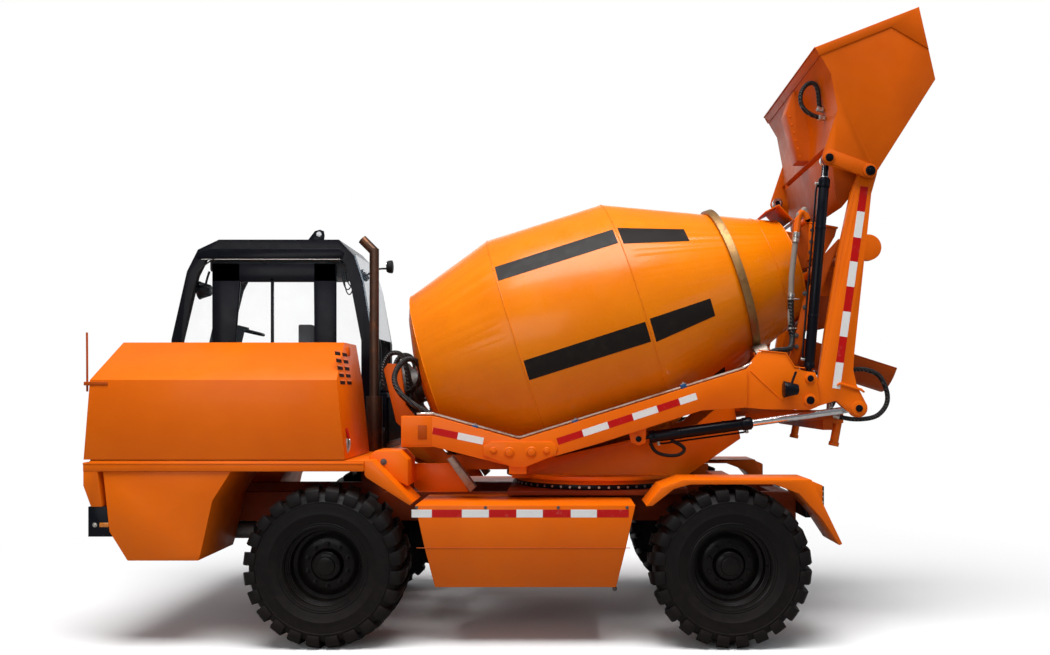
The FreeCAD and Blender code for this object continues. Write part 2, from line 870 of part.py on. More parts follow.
def cab_shell():
    """The hollow cab with its windows cut, and two hinge posts for the door."""
    wall = dims.cabWall
    outside = cab_prism("cab_outside", 0, dims.deckTop, dims.cabNear, dims.cabFar)
    inside = cab_prism("cab_inside", wall, dims.deckTop + wall, dims.cabNear + wall, dims.cabFar - wall)
    shell = cut("cab_cut", outside, inside, *cab_windows())
    x, y = door_hinge()
    posts = []
    for number, z in enumerate(door_hinge_heights()):
        post = rod(f"door_pin{number}", "z", (x, y, z - dims.hingeEar * 1.5), dims.hingeRadius,
                   dims.hingeEar * 3)
        tall = (z - dims.hingeEar * 1.5, z - dims.hingeEar * 0.6)
        left = x - dims.hingeRadius * 3.5
        arm = box(f"door_pin_arm{number}", (left, x + dims.hingeRadius),
                  (dims.cabFar + dims.moveGap, y + dims.hingeRadius), tall)
        foot = box(f"door_pin_foot{number}", (left, x - dims.hingeRadius * 1.5),
                   (dims.cabFar - 1, y + dims.hingeRadius), tall)
        posts += [post, arm, foot]
    node("cab_shell", fuse("cab_whole", shell, *posts))


def door_hinge():
    return dims.cabFront + dims.cabFrame + dims.hingeRadius, dims.cabFar + dims.hingeRadius * 2.2


def door_hinge_heights():
    return dims.doorHigh, dims.doorHigh + 480


def cab_glass():
    """Windscreen, rear window and the near side window, set in the middle of their walls."""
    low, high = dims.glassInset, dims.glassInset + dims.glassThick
    wall, frame = dims.cabWall, dims.cabFrame
    inside = (dims.cabNear + frame, dims.cabFar - frame)
    ring = cut("glass_ring", cab_prism("glass_outside", low, dims.deckTop, *inside),
               cab_prism("glass_inside", high, dims.deckTop, inside[0] - 1, inside[1] + 1))
    screen = common("screen", ring, box("screen_space", (dims.cabFront - 1, dims.cabFront + 460), inside,
                                        (dims.screenSill, dims.cabRoof - frame * 1.2)))
    back = common("back_glass", ring, box("back_space", (dims.cabRear - 330, dims.cabRear + 1), inside,
                                          (dims.screenSill + 200, dims.cabRoof - frame * 2)))
    near = cab_prism("near_glass", frame, dims.screenSill, dims.cabNear + low, dims.cabNear + high)
    node("cab_glass", group("cab_glasses", screen, back, near))


def cab_door():
    """The door's frame and its glass, inside the door's opening with a gap all round."""
    wall, gap = dims.cabWall, dims.moveGap
    outer = dims.cabFrame + gap
    inner = outer + dims.doorFrame
    low = dims.deckTop + dims.doorStep
    leaf = cab_prism("door_leaf", outer, low, dims.cabFar - wall, dims.cabFar)
    window = cab_prism("door_window", inner, dims.doorHigh, dims.cabFar - wall - 1, dims.cabFar + 1)
    x, y = door_hinge()
    barrels = []
    bores = []
    for number, z in enumerate(door_hinge_heights()):
        barrel = rod(f"door_barrel{number}", "z", (x, y, z - dims.hingeEar / 2), dims.hingeRadius * 2,
                     dims.hingeEar)
        strap = box(f"door_strap{number}", (x, x + dims.hingeEar * 2), (dims.cabFar + dims.moveGap, y),
                    (z - dims.hingeEar / 2, z + dims.hingeEar / 2))
        foot = box(f"door_foot{number}", (x + dims.hingeEar, x + dims.hingeEar * 2), (dims.cabFar - 1, y),
                   (z - dims.hingeEar / 2, z + dims.hingeEar / 2))
        barrels += [barrel, strap, foot]
        bores.append(rod(f"door_bore{number}", "z", (x, y, z - dims.hingeEar), dims.hingeRadius + dims.pinGap,
                         dims.hingeEar * 2))
    frame = cut("door_frame", leaf, window)
    node("cab_door", cut("door_whole", fuse("door_with_straps", frame, *barrels), *bores))
    middle = dims.cabFar - wall / 2
    node("door_glass", cab_prism("door_pane", inner, dims.doorHigh, middle - dims.glassThick / 2,
                                 middle + dims.glassThick / 2))


def driver_seat():
    floor = dims.deckTop + dims.cabWall
    x, width = dims.seatX, dims.seatWidth / 2
    middle = (dims.cabNear + dims.cabFar) / 2
    across = (middle - width, middle + width)
    stand = box("seat_stand", (x - 330, x - 60), (middle - width * 0.7, middle + width * 0.7),
                (floor, floor + 380))
    cushion = box("seat_cushion", (x - 430, x), across, (floor + 380, floor + 500))
    back = box("seat_back", (x - 90, x + 20), across, (floor + 500, floor + 960))
    node("driver_seat", fuse("seat_whole", stand, cushion, back))


def steering_column():
    """The steering column and its wheel, in front of the seat."""
    floor = dims.deckTop + dims.cabWall
    middle = (dims.cabNear + dims.cabFar) / 2
    x = dims.seatX - 860
    slope = dims.columnSlope
    length = dims.columnLength
    start = floor + dims.columnRadius
    half = dims.columnRadius * 1.6
    foot = box("column_foot", (x - half, x + half), (middle - half, middle + half), (floor, start))
    column = leaning_rod("column", (x, middle, start), slope, dims.columnRadius, length)
    top = (x + length * cosine(slope), middle, start + length * sine(slope))
    hub = leaning_rod("wheel_hub", top, slope, 60, 30)
    ring = doc.addObject("Part::Torus", "wheel_ring")
    bind(ring, "Radius1", dims.steerRadius)
    bind(ring, "Radius2", 13)
    place(ring, *top, axis=(0, 1, 0), angle=90 - slope)
    spokes = []
    for number in range(3):
        spoke = doc.addObject("Part::Cylinder", f"spoke{number}")
        bind(spoke, "Radius", 9)
        bind(spoke, "Height", dims.steerRadius)
        turn = Rotation(Vector(0, 1, 0), 90 - slope.value)
        aim = Rotation(Vector(0, 0, 1), 90 + 120 * number).multiply(Rotation(Vector(0, 1, 0), 90))
        spoke.Placement = Placement(Vector(), turn.multiply(aim))
        for letter, value in zip("xyz", top):
            bind(spoke, f"Placement.Base.{letter}", value)
        spokes.append(spoke)
    node("steering_column", fuse("column_whole", foot, column, hub, ring, *spokes))


def exhaust_stack():
    """The upright exhaust behind the cab, with its muffler on the deck."""
    x, y = dims.exhaustX, dims.exhaustY
    muffler = rod("muffler", "z", (x, y, dims.deckTop), 62, 420)
    pipe = rod("stack", "z", (x, y, dims.deckTop), 36, dims.exhaustTop - dims.deckTop)
    tip = leaning_rod("stack_tip", (x, y, dims.exhaustTop - 20), size(135), 36, 130)
    node("exhaust_stack", fuse("exhaust_whole", muffler, pipe, tip))


def air_tank():
    radius = dims.airRadius
    x = dims.frontAxleX - 880
    y = dims.railOuter - radius - dims.airInset
    under = dims.railTop - dims.railHeight
    tank = rod("air_cylinder", "x", (x, y, under - radius - 12), radius, 200)
    strap = box("air_strap", (x + 80, x + 120), (y - 20, y + 20), (under - 40, under))
    node("air_tank", mirrored(fuse("air_whole", tank, strap)))


def steps(tank):
    """Black step boxes hanging from the nose, against the front tanks."""
    top = dims.deckTop - dims.deckThick - dims.noseDrop
    left = dims.deckFront + 30
    outline = [
        (left, top),
        (left + 110, top),
        (left + 126, top - 10),
        (left + 150, top - 165),
        (left + 158, top - 198),
        (left, top - 198),
    ]
    step = plate("step", "XZ", outline, dims.tankOuter - 150, dims.tankOuter)
    node("front_steps", both_sides("step_pair", cut("step_whole", step, tank)))


def rear_lamps():
    """Lamp blocks on the frame's rear end."""
    low, high = dims.railTop - dims.lampDrop - dims.lampHigh, dims.railTop - dims.lampDrop
    face = dims.railRear + dims.lampBeam
    beam = box("lamp_beam", (dims.railRear, face), (-dims.lampSpan, dims.lampSpan), (low, high))
    lamp = box("lamp", (face, face + dims.lampDeep), (dims.lampInner, dims.lampInner + dims.lampWide), (low, high))
    node("rear_lamps", fuse("lamps_whole", beam, lamp, mirrored(lamp)))


def slew_ring_base():
    outline = [
        (dims.ringInner, dims.bedTop),
        (dims.ringOuter, dims.bedTop),
        (dims.ringOuter, dims.ringSplit),
        (dims.ringInner, dims.ringSplit),
    ]
    node("slew_ring_base", turned("ring_base", outline, dims.slewX, 0, 0))


def carrier():
    """All that stays on the chassis."""
    chassis_frame()
    front_deck()
    steps(front_tanks())
    side_tanks()
    rear_fenders()
    front_mudguards()
    axle("front_axle", dims.frontAxleX)
    axle("rear_axle", dims.frontAxleX + dims.wheelBase)
    engine_block()
    hood_hinge_lugs()
    cab_shell()
    cab_glass()
    driver_seat()
    steering_column()
    exhaust_stack()
    air_tank()
    rear_lamps()
    slew_ring_base()


def running_gear():
    for end, x in (("front", dims.frontAxleX), ("rear", dims.frontAxleX + dims.wheelBase)):
        for hand, side in (("left", -1), ("right", 1)):
            knuckle(f"{end}_{hand}_knuckle", x, side)
            wheel(f"{end}_{hand}", x, side)


def heading(start, end):
    """The slope from one point to another, in degrees from +X."""
    run, rise = size(end[0]) - start[0], size(end[1]) - start[1]
    angle = math.degrees(math.atan2(rise.value, run.value))
    return Size(angle, f"(atan2({rise.formula}; {run.formula}) / 1 deg)")


def distance(start, end):
    run, rise = size(end[0]) - start[0], size(end[1]) - start[1]
    return Size(math.hypot(run.value, rise.value), f"hypot({run.formula}; {rise.formula})")


def hose(name, y, points, radius):
    """A pipe or hose in one upright plane: straight runs with a ball at each corner."""
    pieces = []
    for number, (first, second) in enumerate(zip(points, points[1:])):
        if size(first[0]).value > size(second[0]).value:
            first, second = second, first
        pieces.append(leaning_rod(f"{name}_run{number}", (first[0], y, first[1]), heading(first, second),
                                  radius, distance(first, second)))
    for number, (x, z) in enumerate(points[1:-1]):
        ball = doc.addObject("Part::Sphere", f"{name}_ball{number}")
        bind(ball, "Radius", radius)
        pieces.append(place(ball, x, y, z))
    return fuse(name, *pieces)


def drum_point(along, up):
    """Where a point of the drum's own frame lies: along its axis and square to it."""
    slope = dims.drumSlope
    x = dims.drumX + size(along) * cosine(slope) - size(up) * sine(slope)
    z = dims.drumZ + size(along) * sine(slope) + size(up) * cosine(slope)
    return x, z


def drum_box(name, along, y, up):
    """A block squared to the drum's axis."""
    piece = doc.addObject("Part::Box", name)
    for side, (low, high) in zip(("Length", "Width", "Height"), (along, y, up)):
        bind(piece, side, size(high) - low)
    x, z = drum_point(along[0], up[0])
    return place(piece, x, y[0], z, axis=(0, -1, 0), angle=dims.drumSlope)


def drum_rod(name, along, y, up, radius):
    """A round bar parallel to the drum's axis."""
    x, z = drum_point(along[0], up)
    return leaning_rod(name, (x, y, z), dims.drumSlope, radius, size(along[1]) - along[0])


def drum_turned(name, outline):
    x, z = drum_point(0, 0)
    return turned(name, outline, x, 0, z, axis=(0, 1, 0), angle=90 - dims.drumSlope)


def cone_radius(along):
    """The outside radius of the drum's front cone at a place along the axis."""
    taper = (dims.drumRadius - dims.mouthRadius) / (dims.mouthEnd - dims.frontSeam)
    return dims.drumRadius - (size(along) - dims.frontSeam) * taper


def drum():
    """The hollow drum and the track ring that it rolls on."""
    wall = dims.drumWall
    outside = [
        (0, dims.tailEnd - dims.tailDish),
        (dims.tailRadius * 0.5, dims.tailEnd - dims.tailDish * 0.8),
        (dims.tailRadius * 0.82, dims.tailEnd - dims.tailDish * 0.4),
        (dims.tailRadius, dims.tailEnd),
        (dims.drumRadius, dims.rearSeam),
        (dims.drumRadius, dims.frontSeam),
        (dims.mouthRadius, dims.mouthEnd),
    ]
    inside = [
        (dims.mouthRadius - wall, dims.mouthEnd),
        (dims.drumRadius - wall, dims.frontSeam - wall * 0.3),
        (dims.drumRadius - wall, dims.rearSeam + wall * 0.3),
        (dims.tailRadius - wall * 0.7, dims.tailEnd + wall * 0.7),
        (dims.tailRadius * 0.82 - wall * 0.3, dims.tailEnd - dims.tailDish * 0.4 + wall),
        (dims.tailRadius * 0.5, dims.tailEnd - dims.tailDish * 0.8 + wall),
        (0, dims.tailEnd - dims.tailDish + wall),
    ]
    node("drum_shell", drum_turned("drum_skin", outside + inside))
    start, end = dims.ringStart, dims.ringStart + dims.ringWidth
    ring = [
        (cone_radius(start) + dims.seatGap, start),
        (cone_radius(end) + dims.seatGap, end),
        (dims.trackRadius, end),
        (dims.trackRadius, start),
    ]
    node("track_ring", drum_turned("track", ring))


def drum_gearbox():
    back = dims.tailEnd - dims.tailDish - dims.seatGap
    low = back - dims.gearLength
    outline = [
        (0, low),
        (dims.gearRadius, low),
        (dims.gearRadius, low + dims.gearLength * 0.6),
        (dims.gearRadius * 0.7, low + dims.gearLength * 0.6),
        (dims.gearRadius * 0.7, back),
        (0, back),
    ]
    node("drum_gearbox", drum_turned("gearbox", outline))
    behind = low - dims.tailPlate
    motor = [
        (0, behind - dims.motorLength),
        (dims.motorRadius * 0.8, behind - dims.motorLength),
        (dims.motorRadius, behind - dims.motorLength * 0.8),
        (dims.motorRadius, behind),
        (0, behind),
    ]
    node("drum_motor", drum_turned("motor", motor))


def roller_place():
    """How far a roller's middle lies below and beside the drum's axis."""
    reach = dims.trackRadius + dims.seatGap + dims.rollerRadius
    return reach * sine(dims.rollerAngle), -(reach * cosine(dims.rollerAngle))


def drum_rollers():
    y, up = roller_place()
    middle = dims.ringStart + dims.ringWidth / 2
    half = dims.rollerLength / 2
    roller = drum_rod("roller", (middle - half, middle + half), y, up, dims.rollerRadius)
    shaft_half = half + dims.rollerPlate + dims.rollerPlay
    shaft = drum_rod("roller_shaft", (middle - shaft_half, middle + shaft_half), y, up, dims.rollerShaft)
    node("drum_rollers", both_sides("roller_pair", fuse("roller_whole", roller, shaft)))


def roller_stand():
    """The two plates that hold one roller's shaft, on the front cross beam."""
    y, up = roller_place()
    middle = dims.ringStart + dims.ringWidth / 2
    half = dims.rollerLength / 2 + dims.rollerPlay
    plates = []
    for number, low in enumerate((middle - half - dims.rollerPlate, middle + half)):
        plates.append(drum_box(f"roller_plate{number}", (low, low + dims.rollerPlate),
                               (y - dims.rollerShaft * 2.6, y + dims.rollerShaft * 2.6),
                               (up - dims.standHeight, up + dims.rollerShaft * 2)))
    bore = drum_rod("roller_bore", (middle - half * 2, middle + half * 2), y, up,
                    dims.rollerShaft + dims.pinGap)
    return cut("roller_stand", fuse("roller_plates", *plates), bore)


def turret_base():
    """The slewing ring's moving half, its deck and the two low side plates."""
    split = dims.ringSplit + dims.seatGap
    ring = [
        (dims.ringInner, split),
        (dims.ringOuter, split),
        (dims.ringOuter, dims.turretFloor),
        (dims.turretRadius, dims.turretFloor),
        (dims.turretRadius, dims.turretFloor + dims.turretPlate),
        (dims.ringInner, dims.turretFloor + dims.turretPlate),
    ]
    disc = turned("turret_ring", ring, dims.slewX, 0, 0)
    floor = dims.turretFloor
    side = [
        (dims.slewX - 627, floor),
        (dims.slewX + 620, floor),
        (dims.slewX + 733, floor + 80),
        (dims.slewX + 1035, floor + 289),
        (dims.beamX, dims.beamLow),
        (dims.beamX, dims.beamLow + 130),
        (dims.slewX + 720, floor + 390),
        (dims.slewX - 300, floor + 158),
        (dims.slewX - 627, floor + 158),
    ]
    web = plate("turret_web", "XZ", side, dims.webInner, dims.webInner + dims.webThick)
    node("turret_base", fuse("turret_whole", disc, web, mirrored(web)))


def drum_frame():
    """The tail bracket, the front cross beam with roller stands, and the rear beam."""
    low = dims.fenderTop + dims.moveGap * 2
    web = dims.webInner
    tail_low, tail_high = dims.tailEnd - dims.tailDish - dims.seatGap - dims.gearLength, dims.gearRadius
    side = [
        (dims.slewX - 627, low),
        (dims.slewX - 1127, low),
        (dims.slewX - 1470, 1480),
        (dims.slewX - 1560, 1860),
        (dims.slewX - 1530, 1905),
        (dims.slewX - 1440, 1900),
        (dims.slewX - 1400, 1600),
        (dims.slewX - 1100, low + 105),
        (dims.slewX - 627, low + 105),
    ]
    rear = plate("tail_side", "XZ", side, web, web + dims.webThick)
    wall = drum_box("tail_wall", (tail_low - dims.tailPlate, tail_low), (-web - 1, web + 1),
                    (-tail_high, tail_high))
    tail = fuse("tail_whole", rear, mirrored(rear), wall)
    beam_end = dims.loaderInner
    beam = box("front_beam", (dims.beamX, dims.beamX + dims.beamWidth), (-beam_end, beam_end),
               (dims.beamLow, dims.beamLow + dims.beamDeep))
    stand = roller_stand()
    runner = box("rear_runner", (dims.beamX + 40, dims.rearBeamX), (dims.runnerY, dims.runnerY + dims.runnerWide),
                 (dims.beamLow - 60, dims.beamLow + 10))
    across = dims.runnerY + dims.runnerWide
    rear_beam = box("rear_beam", (dims.rearBeamX - 70, dims.rearBeamX), (-across, across),
                    (dims.beamLow - 130, dims.beamLow - 59))
    arm = box("chute_arm", (dims.beamX + dims.beamWidth - 1, dims.chuteX + 50), (-55, 55),
              (dims.chuteArm - 60, dims.chuteArm))
    pin = rod("chute_pin", "z", (dims.chuteX, 0, dims.chuteArm - 30), dims.chutePin, 150)
    front = fuse("front_frame", beam, stand, mirrored(stand), runner, mirrored(runner), rear_beam, arm, pin)
    node("tail_bracket", tail)
    node("drum_frame", front)


def beam_outline():
    """The V-shaped loader beam seen from its side, with its block at the front end."""
    return [
        (dims.blockX, dims.blockTop),
        (dims.blockX + dims.blockLong, dims.blockTop),
        (dims.bendX, dims.bendTop),
        (dims.forkX, dims.forkTop),
        (dims.forkX, dims.forkLow),
        (dims.forkX - 314, dims.forkLow - 20),
        (dims.bendX + 555, dims.bendTop - 22),
        (dims.bendX - 23, dims.bendTop - 189),
        (dims.blockX + dims.blockLong, dims.blockTop - 208),
        (dims.blockX + dims.blockLong, dims.blockTop - 213),
        (dims.blockX, dims.blockTop - 213),
    ]


def fork_outline():
    """A pivot plate with its lobes round the arm's pin and the tilt cylinder's pin."""
    x, arm, tilt = dims.armX, dims.armZ, dims.tiltZ
    lobe = dims.forkLobe
    return [
        (dims.forkX - 130, dims.forkLow + 10),
        (dims.forkX + 130, dims.forkLow - 12),
        (x - lobe, arm - lobe),
        (x, arm - lobe),
        (x + lobe * 0.75, arm - lobe * 0.7),
        (x + lobe, arm),
        (x + lobe * 0.85, arm + lobe * 0.7),
        (x + lobe * 0.75, tilt - lobe * 0.6),
        (x + lobe * 0.8, tilt),
        (x + lobe * 0.5, tilt + lobe * 0.65),
        (x - lobe * 0.5, tilt + lobe * 0.75),
        (x - 110, tilt + 75),
        (x - 165, tilt + 170),
        (x - 330, tilt + 190),
        (dims.forkX, dims.forkTop),
        (dims.forkX - 130, dims.forkTop - 42),
    ]


def loader_frame():
    """The V beams either side of the drum, with pivot plates, pins and cylinder lugs."""
    beam = plate("v_beam", "XZ", beam_outline(), dims.beamInner, dims.beamOuter)
    inner = plate("fork_inner", "XZ", fork_outline(), dims.loaderInner, dims.loaderInner + dims.forkPlate)
    outer = plate("fork_outer", "XZ", fork_outline(), dims.forkOuter - dims.forkPlate, dims.forkOuter)
    reach = dims.forkOuter - dims.loaderInner
    arm_pin = rod("arm_pin", "y", (dims.armX, dims.loaderInner, dims.armZ), dims.armPin, reach)
    tilt_pin = rod("tilt_pin", "y", (dims.armX, dims.loaderInner, dims.tiltZ), dims.smallPin, reach)
    x, z = dims.liftX, dims.liftZ
    lug = [
        (x - 70, z + 70),
        (x + 56, z + 90),
        (x + 48, z - 25),
        (x, z - 46),
        (x - 48, z - 25),
    ]
    middle = dims.armMiddle
    near = dims.eyeThick / 2 + 3
    plates = []
    for side in (-1, 1):
        start = middle + near * side
        end = start + dims.lugPlate * side
        low, high = (start, end) if side > 0 else (end, start)
        plates.append(plate(f"lift_lug{side + 1}", "XZ", lug, low, high))
    lug_reach = near + dims.lugPlate
    lift_pin = rod("lift_pin", "y", (x, middle - lug_reach, z), dims.smallPin, lug_reach * 2)
    across = (dims.webInner + dims.webThick, dims.beamOuter)
    brace = box("v_brace", (dims.bendX - 68, dims.bendX + 52), across,
                (dims.fenderTop + dims.moveGap * 2, dims.bendTop - 150))
    side = fuse("loader_side", beam, inner, outer, arm_pin, tilt_pin, *plates, lift_pin, brace)
    node("loader_frame", both_sides("loader_sides", side))


def hopper_outline(amount):
    """The loading hopper from its side, its spout reaching into the drum's mouth."""
    x, z = drum_point(dims.mouthEnd, 0)
    corners = [
        (x - 9, dims.hopperTop),
        (x + 312, dims.hopperTop - 60),
        (x + 295, dims.hopperTop - 124),
        (x + 180, z + 15),
        (x - 85, z - 85),
        (x - 65, z + 60),
    ]
    signs = [(1, 2), (-1, 2), (-1, 0), (-0.6, 1), (-3, 1), (-3, -1)]
    return inset(corners, signs, amount)


def funnel_outline(amount):
    """The discharge funnel from its side, under the mouth's lower lip."""
    x, z = drum_point(dims.mouthEnd, -dims.mouthRadius)
    corners = [
        (x + 26, z + 362),
        (x + 136, z + 312),
        (x + 136, z - 108),
        (x - 89, z - 108),
        (x + 20, z - 18),
    ]
    signs = [(-2, 2), (-1, 2), (-1, -3), (-2, -3), (-2, -3)]
    return inset(corners, signs, amount)


def funnel_width(amount):
    """The funnel's section across the machine, narrowing to the chute."""
    z = drum_point(dims.mouthEnd, -dims.mouthRadius)[1]
    wide, narrow = dims.mouthRadius + 25, dims.chuteRadius - 15
    corners = [
        (-wide, z + 370),
        (wide, z + 370),
        (wide, z + 110),
        (narrow, z - 108),
        (-narrow, z - 108),
        (-wide, z + 110),
    ]
    signs = [(1, 2), (-1, 2), (-1.3, 0), (-4.6, -3), (4.6, -3), (1.3, 0)]
    return inset(corners, signs, amount)


def funnel_solid(name, amount):
    x = drum_point(dims.mouthEnd, -dims.mouthRadius)[0]
    half = dims.mouthRadius + dims.funnelEdge
    along = plate(f"{name}_along", "XZ", funnel_outline(amount), -half, half)
    across = plate(f"{name}_across", "YZ", funnel_width(amount), x - 100, x + 140)
    return common(f"{name}_solid", along, across)


def loading_hopper():
    """The hopper over the mouth, the funnel under it and the uprights that carry both."""
    wall = dims.sheetWall
    half = dims.hopperHalf
    outside = plate("hopper_outside", "XZ", hopper_outline(0), -half, half)
    inside = plate("hopper_inside", "XZ", hopper_outline(wall), wall - half, half - wall)
    hopper = cut("hopper_shell", outside, inside)
    funnel = cut("funnel_shell", funnel_solid("funnel_outside", 0), funnel_solid("funnel_inside", wall))
    x, z = drum_point(dims.mouthEnd, 0)
    beam_top = dims.beamLow + dims.beamDeep
    right = dims.beamX + dims.beamWidth
    upright = [
        (right - 80, beam_top),
        (right, beam_top),
        (x - 5, z - 520),
        (x + 85, z - 300),
        (x + 190, z),
        (x + 260, z + 120),
        (x + 230, z + 140),
        (x + 120, z + 20),
        (x - 20, z - 300),
        (x - 90, z - 600),
    ]
    post = plate("hopper_post", "XZ", upright, dims.postY, dims.postY + dims.postThick)
    tie = box("hopper_tie", (x + 170, x + 215), (half - 1, dims.postY + 1), (z + 10, z + 60))
    low_tie = box("funnel_tie", (x + 150, x + 185), (dims.mouthRadius + 24, dims.postY + 1), (z - 90, z - 40))
    node("loading_hopper", fuse("hopper_whole", hopper, funnel, post, mirrored(post), tie, mirrored(tie),
                                low_tie, mirrored(low_tie)))


def discharge_chute():
    """The half-round chute that swings on a pin under the funnel."""
    x, z, slope = dims.chuteX, dims.chuteZ, -dims.chuteSlope
    start = (x - 75, 0, z + 75 * sine(dims.chuteSlope) / cosine(dims.chuteSlope))
    outer = leaning_rod("chute_outer", start, slope, dims.chuteRadius, dims.chuteLength)
    before = (start[0] - 20, 0, start[2] + 20 * sine(dims.chuteSlope) / cosine(dims.chuteSlope))
    inner = leaning_rod("chute_inner", before, slope, dims.chuteRadius - dims.sheetWall, dims.chuteLength + 60)
    boss = rod("chute_boss", "z", (x, 0, dims.chuteArm + dims.moveGap), dims.chutePin * 1.7,
               z - dims.chuteRadius - dims.chuteArm + 10)
    top = doc.addObject("Part::Box", "chute_top")
    bind(top, "Length", dims.chuteLength + 60)
    bind(top, "Width", dims.chuteRadius * 2 + 2)
    bind(top, "Height", dims.chuteRadius + 1)
    place(top, before[0], -dims.chuteRadius - 1, before[2], axis=(0, 1, 0), angle=dims.chuteSlope)
    bore = rod("chute_bore", "z", (x, 0, dims.chuteArm - 1), dims.chutePin + dims.pinGap, 126)
    whole = fuse("chute_solid", outer, boss)
    node("discharge_chute", cut("chute_whole", whole, inner, top, bore))


def beam_pipes():
    """Steel oil pipes that lie along the top of each V beam."""
    high = dims.pipeRadius + dims.seatGap
    route = [
        (dims.blockX + 100, dims.blockTop + high),
        (dims.blockX + dims.blockLong + 1, dims.blockTop + high),
        (dims.bendX, dims.bendTop + high * 1.04),
        (dims.forkX - 2, dims.forkTop + high),
        (dims.forkX + 130, dims.forkTop + 85),
    ]
    pipes = []
    for number, y in enumerate((dims.pipeY, dims.pipeY + dims.pipeStep)):
        pipe = hose(f"beam_pipe{number}", y, route, dims.pipeRadius)
        pipes += [pipe, mirrored(pipe)]
    node("beam_pipes", group("beam_pipe_set", *pipes))


def motor_hoses():
    """Two hoses from the tail wall, over it and down to the turret's deck."""
    x, z = drum_point(dims.tailEnd - dims.tailDish - dims.gearLength - dims.tailPlate - dims.seatGap * 2, 0)
    deck = dims.turretFloor + dims.turretPlate
    end = dims.slewX - dims.turretRadius + 63
    route = [
        (x, z),
        (x - 50, z - 16),
        (x - 106, z + 50),
        (x - 112, z + 188),
        (x - 60, z + 288),
        (x + 28, z + 284),
        (x + 66, z + 190),
        (x + 90, z + 5),
        (x + 128, z - 245),
        (x + 288, z - 448),
        (x + 488, deck + 67),
        (x + 678, deck + 54),
        (end - 70, deck + 52),
        (end, deck + 34),
        (end, deck + dims.seatGap),
    ]
    loop = hose("motor_hose", dims.motorHoseY, route, dims.hoseRadius)
    node("motor_hoses", both_sides("motor_hose_pair", loop))


def heel_hoses():
    """A hose loop behind each pivot plate, from the runner's end back to its top."""
    top = dims.beamLow + 10
    x = dims.rearBeamX
    route = [
        (x + dims.seatGap + 4, top - 35),
        (x + 190, top - 68),
        (x + 350, top - 20),
        (x + 392, top + 130),
        (x + 314, top + 260),
        (x + 164, top + 290),
        (x + 54, top + 210),
        (x - 16, top + 80),
        (x - 16, top + dims.seatGap),
    ]
    loop = hose("heel_hose", dims.runnerY + 30, route, dims.heelHoseRadius)
    node("heel_hoses", both_sides("heel_hose_pair", loop))


def water_pipe():
    """The water pipe beside the near upright, with its feed into the hopper's side."""
    x, z = drum_point(dims.mouthEnd, 0)
    y = -dims.postY - dims.postThick / 2
    route = [
        (x - 99, z - 555),
        (x - 114, z - 420),
        (x - 104, z - 130),
        (x - 74, z + 150),
        (x - 54, z + 310),
        (x - 14, z + 350),
        (x + 12, z + 280),
    ]
    pipe = hose("water_run", y, route, dims.waterRadius)
    feed = rod("water_feed", "y", (x + 12, y, z + 280), dims.waterRadius, -dims.hopperHalf - dims.seatGap - y)
    node("water_pipe", fuse("water_whole", pipe, feed))


def bucket_hose():
    """The hatch's oil hose on the back of the bucket."""
    points = [
        (-230, 440),
        (-320, 455),
        (-398, 520),
        (-412, 610),
        (-372, 680),
        (-322, 702),
        (-286, 668),
        (-276, 590),
        (-272, 530),
        (-262, 505),
        (-242, 500),
    ]
    route = [pin_point(run, rise) for run, rise in points]
    node("bucket_hose", hose("bucket_hose_run", -dims.bucketHoseY, route, dims.bucketHoseRadius))


def turret():
    """All that slews with the upper frame."""
    turret_base()
    drum_frame()
    loader_frame()
    drum_gearbox()
    drum_rollers()
    loading_hopper()
    drum()
    discharge_chute()
    beam_pipes()
    motor_hoses()
    heel_hoses()
    water_pipe()


def arm_point(run, rise):
    """A place given from the arm's hinge, with the arm raised."""
    return dims.armX + run, dims.armZ + rise


def pin_point(run, rise):
    """A place given from the bucket's pin, with the arm raised."""
    return dims.pinX + run, dims.pinZ + rise


